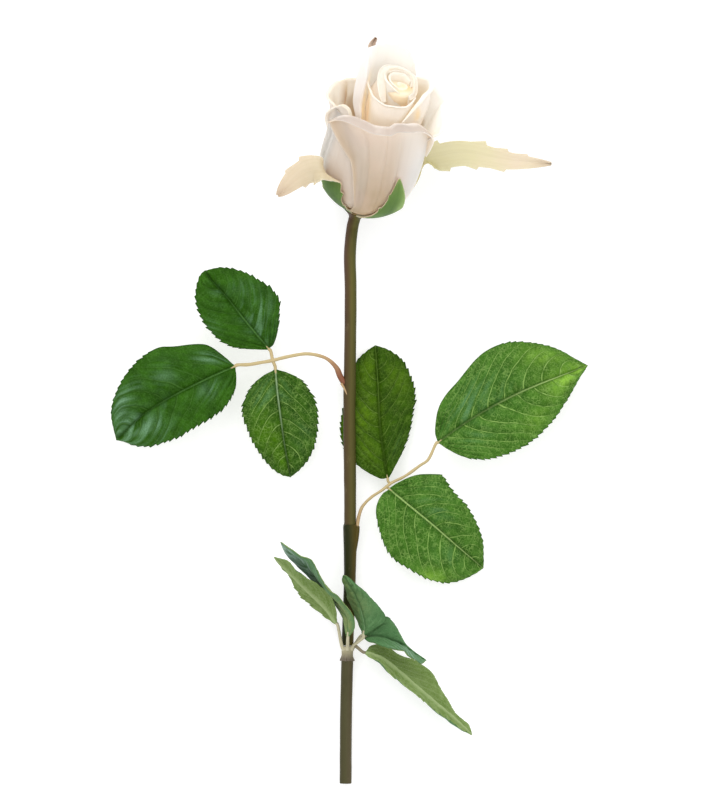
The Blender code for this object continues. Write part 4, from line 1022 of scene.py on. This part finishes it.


# outer petals lie on the bowl: layer counted inwards, direction and half span in degrees, foot share and
# how late it widens, rise and drop of the rim, from where on the rim pulls the sheet, how much narrower
# on the left, the rim itself from right to left as (p, q, s), lip as (share, radius, flap), folds,
# finishes, creases as (place, depth, width), the tint with painted glow and painted shade as (place,
# height, reach across, reach up, strength)
outerPetals = {
    "petal_front": dict(
        layer=0, facing=68, span=78, foot=0.5, widen=3.2, rise=66, drop=16, start=0.4, narrow=0.33,
        rim=[(21.2, 29, -4), (21.0, 37.0, 6.5), (18.4, 39.6, 13.0), (14.5, 41.3, 17.5),
             (10.2, 39.6, 20.8), (5.8, 38.9, 22.4), (4.0, 37.0, 23.2), (1.7, 36.4, 23.6),
             (-2.5, 36.2, 23.4), (-6.9, 36.8, 22.4), (-10.5, 37.1, 20.8), (-15.8, 36.3, 17.2),
             (-20.4, 32.3, 12)],
        lip=(0.16, 1.1, 3.2), ply=0.4, inside="petalLip", outside="petalFront",
        creases=[(0.05, 0.4, 0.04), (-0.33, 0.5, 0.035), (0.5, 0.3, 0.08)],
        tintAndPaintedLight=[(0.3, 0.05, 1.6, 0.25, 0.9), (-0.85, 0.9, 0.25, 0.12, 0.8), (0.95, 0.7, 0.08, 0.5, 0.6)]),
    "petal_back_outer": dict(
        layer=0, facing=-90, span=64, foot=0.7, widen=1.4, rise=64, drop=12, start=0.5, rim=[],
        lip=(0.07, 0.7, 0.4), ply=0.3, inside="petalInside", outside="petalRight", creases=[], tintAndPaintedLight=[]),
    "petal_left_outer": dict(
        layer=1, facing=150, span=66, foot=0.98, widen=1.4, rise=54, drop=6, start=0.45,
        rim=[(-3.0, 31.5, 17.5), (-9.4, 33.8, 17), (-13.6, 40.2, 14.6), (-17.3, 40.4, 11.5),
             (-20.4, 37.4, 8), (-21.3, 34.0, 3.5), (-20.5, 30, -4)],
        lip=(0.08, 0.8, 0.8), ply=0.3, inside="petalOlive", outside="petalOutside",
        creases=[(0.1, 0.4, 0.06)],
        tintAndPaintedLight=[(-0.5, 0.41, 0.17, 0.12, 0.8), (-0.7, 0.25, 0.3, 0.12, 0.3), (0.55, 0.88, 0.2, 0.1, 0.55)]),
    "petal_left_inner": dict(
        layer=2, facing=190, span=54, foot=0.7, widen=1.4, rise=60, drop=5, start=0.5,
        rim=[(-15.5, 37, 12), (-19.8, 40.0, 7.5), (-23.6, 43.4, 2), (-21.4, 49.4, -4), (-15.5, 52.4, -9),
             (-8, 52.5, -14)],
        lip=(0.07, 0.7, 0.4), ply=0.3, inside="petalTan", outside="petalOutside",
        creases=[(0.35, 1.6, 0.1)], tintAndPaintedLight=[(0.36, 0.84, 0.1, 0.12, 0.9), (0.0, 0.8, 0.1, 0.1, 0.4)]),
    "petal_right_outer": dict(
        layer=1, facing=-12, span=64, foot=0.7, widen=1.4, rise=70, drop=8, start=0.5,
        rim=[(8, 56, -17), (14.6, 59.8, -10), (19.3, 56.8, -6.5), (23.2, 54.2, -3.5), (22.6, 50.8, -1),
             (24.2, 47.8, 1), (24.9, 43.4, 3), (23.8, 40, 5), (20.8, 36.6, 6.5)],
        lip=(0.09, 1.0, 0.7), ply=0.4, inside="petalInside", outside="petalRight",
        creases=[(0.2, 0.5, 0.1)], tintAndPaintedLight=[(0.75, 0.62, 0.25, 0.25, 0.8)]),
}

# inner petals are lofted through rows of points (p, q, s), from low in the bloom to the rim
innerPetals = {
    "tall": dict(
        node="petal_back_tall", inside="petalTall", lip=(0.05, 0.35, 0.0),
        tintAndPaintedLight=[(-0.36, 0.42, 0.22, 0.2, 1.0), (-0.3, 0.66, 0.12, 0.1, 0.5)],
        rows=[[(-5, 12, 3), (-6, 12, 1), (-6.5, 12, -1), (-5, 11, -4), (-1, 10, -6), (4, 10, -5),
               (6, 11, -3)],
              [(-9.5, 34, 8.5), (-8, 34.5, 9.5), (-7.4, 34, 7), (-6, 33, 3), (-3, 30, -5), (3, 29, -10),
               (9, 30, -7)],
              [(-13.2, 43, 3.5), (-9.9, 43.5, 6), (-8.9, 43, 4), (-7.0, 42, 0.5), (-3, 41, -7),
               (5, 40, -12), (10, 42, -8.5)],
              [(-14.3, 53.5, -1), (-10.8, 54.5, 1.5), (-9.8, 54.5, -1), (-7.5, 54, -5.5), (-2, 53.5, -11),
               (6, 53, -12.5), (10.5, 53, -8.5)],
              [(-14.4, 62, -5), (-12.8, 66, -6.5), (-10.5, 67.7, -9), (-7, 69.6, -11.5),
               (-0.5, 71.3, -13), (6, 67.6, -12), (9.3, 60.5, -9)]]),
    "rightInner": dict(
        node="petal_right_inner", inside="petalBud", lip=(0.08, 0.9, 0.4),
        tintAndPaintedLight=[(0.66, 0.74, 0.1, 0.12, 0.95)],
        rows=[[(3, 12, -5), (5, 12, -4), (6, 12, -2), (6.5, 12, 0), (6, 12, 2), (5, 11, 4), (4, 10, 5)],
              [(5, 32, -10), (8, 32, -9), (11.5, 31, -7), (14, 30, -3), (14, 29, 2), (12, 27, 6),
               (8.5, 24, 8.5)],
              [(5.5, 45, -12), (9, 46, -11), (13.4, 46, -8.5), (16.2, 44, -4), (16.4, 41, 1.5),
               (14.2, 37.5, 7), (9.2, 32, 11)],
              [(5.5, 53, -13), (9.8, 55, -11.5), (14.8, 55.5, -8), (17.4, 52.5, -3), (16.8, 48.2, 2.5),
               (14.4, 43.5, 8), (9.2, 36.5, 12.8)],
              [(5.5, 57, -13.5), (10, 60.0, -11), (14.6, 60.6, -6.5), (16.2, 57.8, -1.5),
               (14.3, 53.6, 3.5), (12.2, 48.6, 8.8), (8.8, 40.0, 13.8)]]),
    "budFront": dict(
        node="bloom_heart", lip=(0.06, 0.5, 0.2), tintAndPaintedLight=[(0.95, 0.62, 0.3, 0.32, 0.85)],
        rows=[[(5, 12, 2), (5, 12, 3), (4, 11, 4), (2, 11, 5), (0, 11, 5), (-2, 11, 4), (-3, 12, 3),
               (-4, 12, 1)],
              [(7.5, 30, 8), (7, 29.5, 9.5), (5.5, 29, 11), (3, 28.5, 11.6), (0.4, 28.5, 11.5),
               (-2.2, 29, 10.5), (-4.2, 31, 8), (-5.4, 33, 4)],
              [(9.0, 40.3, 10.2), (8, 39.5, 11.9), (6.3, 38.6, 13), (3.3, 38, 13.6), (-0.1, 38, 13.2),
               (-3.2, 39, 11.4), (-5.2, 41, 8), (-6.6, 43.5, 4)],
              [(11.2, 48, 7.7), (9.6, 45.3, 10.0), (7.6, 43.3, 11.6), (3.7, 42.4, 12.6),
               (-0.4, 42.6, 11.9), (-4.0, 44.2, 9.4), (-6.2, 46.6, 6), (-8.2, 50.2, 2.2)],
              [(11.6, 51.6, 6.0), (10.2, 48.8, 8.6), (8.3, 46.9, 10.3), (3.9, 45.7, 11.2),
               (-0.3, 45.6, 10.6), (-4.4, 47.2, 8.3), (-6.8, 49.4, 5.2), (-9.4, 53.4, 1.0)]]),
    "budRing": dict(
        inside="petalBud", lip=(0.05, 0.4, 0.0), tintAndPaintedLight=[],
        rows=[[(-1, 14, 3), (-2, 14, 2), (-3, 14, 0), (-3, 14, -2), (-1, 14, -3.5), (1, 14, -4),
               (3, 14, -3.5), (5, 14, -2), (5, 14, 0), (4, 14, 2)],
              [(-1.5, 32, 8), (-4, 33, 6), (-6, 34, 2.5), (-6, 36, -3), (-3.5, 37, -6.5), (1.5, 37, -8.5),
               (6.5, 37, -7.5), (9.5, 36, -4), (10.2, 34, 1), (8.5, 33, 5.5)],
              [(-2.2, 42, 8.3), (-4.6, 43.5, 6), (-7, 46, 2.6), (-7.6, 50, -3), (-5.0, 52, -7),
               (1.5, 52.5, -9), (7.5, 52, -8), (10.7, 50, -4.5), (11.4, 46.5, 1), (9.6, 44.5, 6)],
              [(0.2, 46.0, 6.6), (-0.9, 49.6, 4.7), (-2.0, 53.8, 2.0), (-2.6, 58.4, -2.4),
               (-1.2, 60.4, -4.9), (2.6, 61.0, -6.2), (6.6, 59.8, -5.4), (8.9, 57.2, -3.0),
               (9.8, 53.4, 0.9), (8.6, 50.6, 4.8)],
              [(-1.0, 45.6, 7.8), (-3.2, 49.0, 5.8), (-4.9, 53.4, 2.6), (-5.4, 58.8, -3),
               (-3.4, 61.4, -6.4), (2.0, 62.2, -8), (7.6, 60.8, -7), (10.4, 57.8, -4), (11.3, 53, 1),
               (9.6, 50, 6)]]),
    "budSwirl": dict(
        inside="petalBud", lip=(0.06, 0.5, 0.2), tintAndPaintedLight=[],
        rows=[[(4, 20, 1), (3, 20, 2), (1, 20, 2), (0, 20, 0), (1, 20, -1), (2, 20, -2), (3, 20, -2),
               (4, 20, -1), (5, 20, 0)],
              [(7.0, 36, 3), (4.5, 36, 5), (1, 37, 4.5), (-1.6, 38, 1.5), (-1.8, 40, -2), (0.8, 41, -5),
               (4.5, 41, -5.5), (7.4, 40, -4), (8.2, 38, -1)],
              [(7.6, 45, 3.6), (4.9, 46, 5.4), (1.4, 48, 5.2), (-2.2, 50.5, 2.4), (-2.8, 53, -1.8),
               (0.2, 54, -5), (4.5, 54, -5.8), (7.7, 52.5, -4), (8.6, 50, -0.8)],
              [(8.4, 49.9, 2.8), (5.0, 51.4, 4.4), (1.6, 53.4, 4.2), (-1.8, 55.9, 2.0),
               (-2.4, 58.4, -1.9), (0.5, 60.2, -4.5), (4.6, 60.6, -5.3), (7.7, 58.7, -3.9),
               (8.8, 55.4, -0.9)]]),
    "budHeart": dict(
        inside="petalBud", lip=(0.06, 0.4, 0.1), tintAndPaintedLight=[],
        rows=[[(4, 26, 1), (3, 26, 1), (2.5, 26, 0), (3, 26, -1), (4, 26, -1), (5, 26, -0.5)],
              [(7.2, 44, 2), (4.0, 45, 3.0), (0.6, 46.5, 1.4), (0.6, 48, -1.7), (4.2, 48.8, -3.3),
               (7.4, 47.5, -2)],
              [(7.8, 51.6, 1.6), (3.8, 53.2, 2.9), (-0.3, 56.0, 1.6), (-0.3, 58.4, -1.7),
               (3.8, 59.7, -3.6), (7.8, 57.6, -2.6)]]),
}
# thickness, and how much the rims wave and the inner petals fold, in mm
petalGrid = dict(columns=60, rows=64, thickness=0.5, wave=0.5, innerWave=0.35, innerPly=0.2)

# innermost petals as (p, q, s) of their middle, half sizes to the right and front, heights over and
# under the middle, height of the spiral ridges and how close they lie
budCore = dict(centre=(4.2, 52.6, 0.2), right=6.6, front=5.8, top=2.6, under=9.0, ridge=0.7, turns=2.1)


def curlOver(lip, up, spread):
    # the rim turns outwards: how far out and how far along the bloom at this height of the sheet
    share, radius, flap = lip
    radius *= 1 - 0.5 * spread ** 4
    t = clamp((up - 1 + share) / share)
    turn = min(t / 0.65, 1) * 2.3
    beyond = flap * clamp((t - 0.65) / 0.35) * (1 - 0.9 * spread ** 6)
    return (radius * (1 - math.cos(turn)) + beyond * math.sin(turn),
            radius * (math.sin(turn) - 1) + beyond * math.cos(turn))


def outerSurface(size, number):
    rim = [inPicture(*point) for point in size["rim"]]
    share = size["lip"][0]

    def lying(across, up):
        foot = size["layer"] * bloom["pitch"]
        edge = size["rise"] - size["drop"] * abs(across) ** 2.5
        run = foot + up * (edge - foot)
        span = math.radians(size["span"]) * (size["foot"] + (1 - size["foot"]) * up ** size["widen"])
        if across > 0:   # narrower on the left at half height
            span *= 1 - size.get("narrow", 0) * across * clamp((up - 0.1) / 0.25) * clamp((1 - up) / 0.2)
        angle = math.radians(size["facing"]) + across * span
        height, radius = offBowl(run, size["layer"] * bloom["pitch"])
        return inBloom(height, radius, angle), angle

    def surface(across, up):
        body = min(up / (1 - share), 1) ** 1.15
        spot, angle = lying(across, body)
        out = bloomRight * math.cos(angle) + bloomFront * math.sin(angle)
        if rim:
            pull = clamp((body - size["start"]) / (1 - size["start"])) ** 1.9
            spot += (splineAt(rim, (across + 1) / 2) - lying(across, 1)[0]) * pull
        curlOut, curlUp = curlOver(size["lip"], up, abs(across))
        curlUp += size["lip"][1] * (1 - clamp((body - 0.8) / 0.2))   # the crest stays at the rim's height
        folds = unevenAt(across * 4, body * 1.3, number * 6.0) * size["ply"] * clamp(body * 2 - 0.4)
        for place, depth, width in size["creases"]:
            folds -= depth * hill(across, place, width) * clamp(body * 4 - 0.6) * clamp(4.6 - body * 4)
        ruffle = unevenAt(across * 5, number * 4.0) * petalGrid["wave"] * clamp(body * 3 - 2)
        return (spot + out * (folds + curlOut) + bloomAxis * (ruffle + curlUp)) * mm

    return surface


def innerSurface(size, number):
    rows = [[inPicture(*point) for point in row] for row in size["rows"]]
    middle = bloomBase + bloomRight * 3.0
    share = size["lip"][0]

    def surface(across, up):
        body = min(up / (1 - share), 1)
        spot = splineAt([splineAt(row, (across + 1) / 2) for row in rows], body)
        out = spot - middle
        out -= bloomAxis * out.dot(bloomAxis)
        out.normalize()
        curlOut, curlUp = curlOver(size["lip"], up, abs(across))
        curlUp += size["lip"][1] * (1 - clamp((body - 0.9) / 0.1))
        folds = unevenAt(across * 4, body * 2, number * 6.0) * petalGrid["innerPly"]
        ruffle = unevenAt(across * 5, number * 3.0) * petalGrid["innerWave"] * clamp(body * 3 - 2)
        return (spot + out * (folds + curlOut) + bloomAxis * (ruffle + curlUp)) * mm

    return surface


def petalMarks(tintAndPaintedLight):
    # marks that petalFinish reads: place up and across the sheet, and strength of its tint with painted
    # glow and painted shade
    def tintAndPaintedLightAt(u, v):
        total = 0.0
        for place, height, wide, tall, strength in tintAndPaintedLight:
            near = math.exp(-((u - place) / wide) ** 2 - ((v - height) / tall) ** 2)
            total = max(total, strength * near)
        return total

    return [("up", lambda u, v: v), ("across", lambda u, v: u), ("tintAndPaintedLight", tintAndPaintedLightAt)]


def makePetal(name, surface, size, inside, outside, *nodes):
    petal = layGrid(name, petalGrid["columns"], petalGrid["rows"], surface, petalMarks(size["tintAndPaintedLight"]))
    thicken(petal, petalGrid["thickness"], inside, outside)
    applyModifier(petal, "SUBSURF", levels=1, render_levels=1)
    finishPiece(petal, 180, "petal", *nodes)


def makeBudCore():
    # innermost petals, pressed into one spiral: a sphere laid low in the bud with spiral ridges
    bpy.ops.object.select_all(action="DESELECT")
    bpy.ops.mesh.primitive_uv_sphere_add(segments=96, ring_count=64, radius=1)
    core = named("bloom_budCore")
    centre = inPicture(*budCore["centre"])
    levels, budTintAndPaintedLight = [], []
    for vert in core.data.vertices:
        x, y, z = vert.co
        reach = math.hypot(x, y)
        turn = math.atan2(y, x)
        ridge = ((reach * budCore["turns"] - turn / (2 * math.pi)) % 1.0) ** 1.8 if z > 0 else 0.0
        ridge *= clamp((1 - reach) * 6)
        levels.append(0.4 + 0.45 * ridge)
        # golden spot at the heart's right, between the ridges: a tint with painted glow
        budTintAndPaintedLight.append(clamp(0.85 - ridge) * math.exp(-((x - 0.6) / 0.45) ** 2 - ((y + 0.1) / 0.5) ** 2))
        height = z * budCore["top" if z > 0 else "under"] + budCore["ridge"] * ridge
        vert.co = (centre + bloomRight * x * budCore["right"] + bloomFront * y * budCore["front"]
                   + bloomAxis * height) * mm
    for title, values in (("up", levels), ("across", [0.0] * len(levels)), ("tintAndPaintedLight", budTintAndPaintedLight)):
        addMark(core, title, values)
    core.data.materials.append(finishes["budCore"])
    finishPiece(core, 180, "petal")


def makePetals():
    for number, (node, size) in enumerate(outerPetals.items()):
        makePetal(node.replace("petal_", "bloom_"), outerSurface(size, number), size, size["inside"],
                  size["outside"], node)
    for number, (name, size) in enumerate(innerPetals.items()):
        nodes = [size["node"]] if "node" in size else []
        makePetal("bloom_" + name, innerSurface(size, number + 10), size, size.get("inside", "petalDeep"),
                  "petalHeart", *nodes)
    makeBudCore()


makePetals()
print("rose: petals made")


sepalShared = dict(rows=110, columns=20, thickness=0.6, foot=0.6, neck=0.4, end=0.995, inset=8, gap=0.35,
                   lift=0.75, toothReach=0.07, ribDip=0.35, lowest=0.00002)   # lowest is in metres

# direction and veer in degrees, layer, length that lies on the bloom, half width with shape numbers,
# free points beyond it, lean: share of the width on one side, teeth as (v, height), the tint with
# painted light as for petals, finish of the lining
sepals = {
    "left": dict(
        root=130, layer=1, veer=0, clings=29, width=(5.7, 0.5, 0.6),
        free=[(-11, 100.5, 41), (-16, 101, 40.5), (-22, 98, 37), (-30, 90.3, 30)],
        tintAndPaintedLight=[(0, 1.0, 3, 0.1, 0.5)],
        right=[(0.2, 1.2), (0.31, 1.4), (0.42, 1.2), (0.7, 1.4), (0.82, 0.9)],
        left=[(0.25, 1.0), (0.4, 1.3), (0.62, 1.5), (0.78, 1.2)]),
    "front": dict(
        root=50, layer=0, veer=3, clings=38, width=(9.2, 0.4, 0.95), lean=0.55, free=[],
        tintAndPaintedLight=[(-0.75, 0.62, 0.3, 0.25, 0.6)], right=[(0.35, 0.8), (0.6, 1.0), (0.8, 0.7)],
        left=[(0.3, 0.7), (0.55, 0.8)]),
    "right": dict(
        root=-22, layer=1, veer=0, clings=34, width=(5.3, 0.5, 0.75),
        free=[(37.5, 106.5, 15.5), (49, 108, 15.5), (67.5, 104.8, 18), (84.7, 103.6, 22)],
        tintAndPaintedLight=[(0, 0.6, 3, 0.6, 0.05), (0, 1.0, 3, 0.08, 0.45)], lining="sepalYellow",
        right=[(0.5, 1.5), (0.66, 1.5), (0.79, 1.2)],
        left=[(0.48, 1.8), (0.68, 1.8), (0.79, 1.3), (0.89, 1.0)]),
    "back": dict(
        root=-97, layer=0, veer=-24, clings=64, width=(5.5, 0.35, 0.8),
        free=[(10.2, 149.4, 27.0), (9.4, 152.8, 28.8), (11.2, 156.3, 30.6)], tintAndPaintedLight=[(0, 1.0, 3, 0.1, 1.0)],
        right=[(0.4, 1.2), (0.6, 1.3), (0.8, 1.2)], left=[(0.35, 1.2), (0.55, 1.3), (0.9, 1.3)]),
    "under": dict(
        root=-150, layer=0, veer=40, clings=44, width=(5.4, 0.35, 0.8), free=[],
        right=[(0.35, 1.2), (0.6, 1.3), (0.8, 1.0)], left=[(0.4, 1.2), (0.65, 1.2)]),
}


def bladeShare(v, root, point):
    # outline of a sepal: 0 at both ends and 1 at its widest place
    v = clamp(v)
    peak = root / (root + point)
    return v ** root * (1 - v) ** point / (peak ** root * (1 - peak) ** point)


def sepalSurface(size):
    clings, layer = size["clings"], size["layer"]
    stand = -(1.3 * sepalShared["gap"] + sepalShared["lift"])
    root, veer = math.radians(size["root"]), math.radians(size["veer"])
    width, foot, point = size["width"]
    outward = bloomRight * math.cos(root + veer) + bloomFront * math.sin(root + veer)

    def lying(run):
        return offBowl(run, stand + layer * bloom["pitch"] * min(1, run / sepalShared["inset"]))

    def clinging(run, turn):
        height, radius = lying(run)
        return inBloom(height, radius, root + veer * run / clings + turn)

    free = []
    if size["free"]:
        free = smoothPath([clinging(clings - 4, 0), clinging(clings, 0), *size["free"]], 8)[8:]
    reach = sum((end - begin).length for begin, end in zip(free, free[1:]))
    total = clings - sepalShared["foot"] + reach

    def beyond(run):
        for begin, end in zip(free, free[1:]):
            step = (end - begin).length
            if run <= step or end is free[-1]:
                break
            run -= step
        way = (end - begin).normalized()
        return begin + way * run, way

    def place(across, up):
        run = sepalShared["foot"] + up * total
        v = min(up, sepalShared["end"])
        lean = size.get("lean", 1) if across > 0 else 1
        half = sepalShared["neck"] + width * bladeShare(v, foot, point) * lean
        for spot, tall in size["left" if across < 0 else "right"]:
            if v <= spot:
                tooth = tall * max(0, 1 - (spot - v) / sepalShared["toothReach"])
                half += tooth * clamp((abs(across) - 0.7) / 0.3)
        sway = 0.25 * unevenAt(across * 2, up * 6, size["root"])
        if run <= clings + 0.01:
            radius = lying(run)[1]
            return clinging(run, across * half / max(radius, 4)) * mm
        spot, way = beyond(run - clings)
        turned = min(1, (run - clings) / (0.45 * reach))
        facing = (-outward).lerp(Vector((0, 0, 1)), turned)
        side = way.cross(facing).normalized()
        rise = side.cross(way)
        ribDip = sepalShared["ribDip"] * math.exp(-(across * 3.5) ** 2)
        return (spot + side * half * across + rise * (sway - ribDip + 0.5 * across ** 2)) * mm

    return place


# the cup's profile as (radius, height on the bloom's axis), and from which height on it is lined
calyxCup = dict(steps=40, lined=0.6, profile=[
    (0, -cupLength), (1.6, -cupLength), (2.5, -3.5), (2.75, -3.25), (2.85, -2.9), (3.2, -2.3), (3.9, -1.5),
    (4.6, -0.7), (5.4, 0), (5.75, 0.35), (5.65, 0.75), (5.3, 0.9), (2, 0.9), (0, 0.9)])


def makeCalyx():
    # cup: a turned profile, spun round the bloom's axis
    profile = calyxCup["profile"]
    bpy.ops.object.select_all(action="DESELECT")
    bpy.ops.mesh.primitive_circle_add(vertices=len(profile), radius=1)
    cup = named("calyxCup")
    for vert, (radius, height) in zip(cup.data.vertices, profile):
        vert.co = (radius * mm, 0, height * mm)
    bpy.ops.object.mode_set(mode="EDIT")
    bpy.ops.mesh.select_all(action="SELECT")
    bpy.ops.mesh.spin(steps=calyxCup["steps"], angle=2 * math.pi, center=(0, 0, 0), axis=(0, 0, 1))
    bpy.ops.mesh.remove_doubles(threshold=mergeReach)
    bpy.ops.mesh.normals_make_consistent(inside=False)
    bpy.ops.object.mode_set(mode="OBJECT")
    turn = Matrix((bloomRight, bloomFront, bloomAxis)).transposed().to_4x4()
    turn.translation = bloomBase * mm
    cup.data.transform(turn)
    addMark(cup, "around", [aroundMark(v.co / mm) for v in cup.data.vertices])
    addMark(cup, "along", [1.0] * len(cup.data.vertices))
    cup.data.materials.append(finishes["stem"])
    cup.data.materials.append(finishes["petalFront"])   # the receptacle that the petals grow from
    for face in cup.data.polygons:
        if (face.center / mm - bloomBase).dot(bloomAxis) > calyxCup["lined"]:
            face.material_index = 1
    finishPiece(cup, 40, "sepal", "calyx")
    for name, size in sepals.items():
        sepal = layGrid("sepal_" + name, sepalShared["columns"], sepalShared["rows"], sepalSurface(size),
                        petalMarks(size.get("tintAndPaintedLight", ())))
        lining = size.get("lining", "sepalIn")
        thicken(sepal, sepalShared["thickness"], lining, "sepalOut", lining)
        for vert in sepal.data.vertices:
            vert.co.z = max(vert.co.z, sepalShared["lowest"])
        finishPiece(sepal, 60, "sepal")


makeCalyx()
print("rose: calyx made")


# in metres, but for the view's centre in mm; lamps as (name, place, size, power)
studio = dict(floor=6.0, under=0.00005, paperGlow=0.55, distance=10.0, view=0.336, centre=(5.92, 4.62),
              sensor=36, near=0.1, far=60, white=(1, 1, 1, 1),
              lamps=[("keyLight", (-0.5, 1.6, 1.7), 1.6, 26), ("fillLight", (0.9, -1.0, 1.9), 1.8, 7)])


def setStudio():
    # pale paper under the rose, white surroundings, two lamps and a camera that looks straight down
    bpy.ops.object.select_all(action="DESELECT")
    bpy.ops.mesh.primitive_plane_add(size=studio["floor"], location=(0, 0, -studio["under"]))
    ground = bpy.context.object
    ground.name = "studioFloor"
    paper = Finish("Pale paper", roughness=0.9, Specular_IOR_Level=0.1, Emission_Color=studio["white"],
                   Emission_Strength=studio["paperGlow"])
    tone = paper.ramp(paper.grain(paper.spot(), 3, 2), [(0.3, "#c4c4c4"), (0.7, "#c8c8c8")])
    ground.data.materials.append(paper.done(tone))

    world = bpy.data.worlds.new("Studio")
    bpy.context.scene.world = world
    world.use_nodes = True
    background = world.node_tree.nodes["Background"]
    background.inputs["Color"].default_value = studio["white"]
    background.inputs["Strength"].default_value = 1.0

    for name, place, size, power in studio["lamps"]:
        bpy.ops.object.select_all(action="DESELECT")
        bpy.ops.object.light_add(type="AREA", location=place)
        lamp = bpy.context.object
        lamp.name = name
        lamp.data.size = size
        lamp.data.energy = power
        lamp.rotation_euler = (Vector((0, 0, 0)) - Vector(place)).to_track_quat("-Z", "Y").to_euler()

    x, y = studio["centre"]
    bpy.ops.object.camera_add(location=(x * mm, y * mm, studio["distance"]))
    camera = bpy.context.object
    camera.rotation_euler = (0, 0, 0)
    camera.data.sensor_width = studio["sensor"]
    camera.data.lens = studio["sensor"] * studio["distance"] / studio["view"]
    camera.data.clip_start, camera.data.clip_end = studio["near"], studio["far"]
    bpy.context.scene.camera = camera
    bpy.context.scene.view_settings.view_transform = "Standard"


setStudio()
print("rose: studio ready")
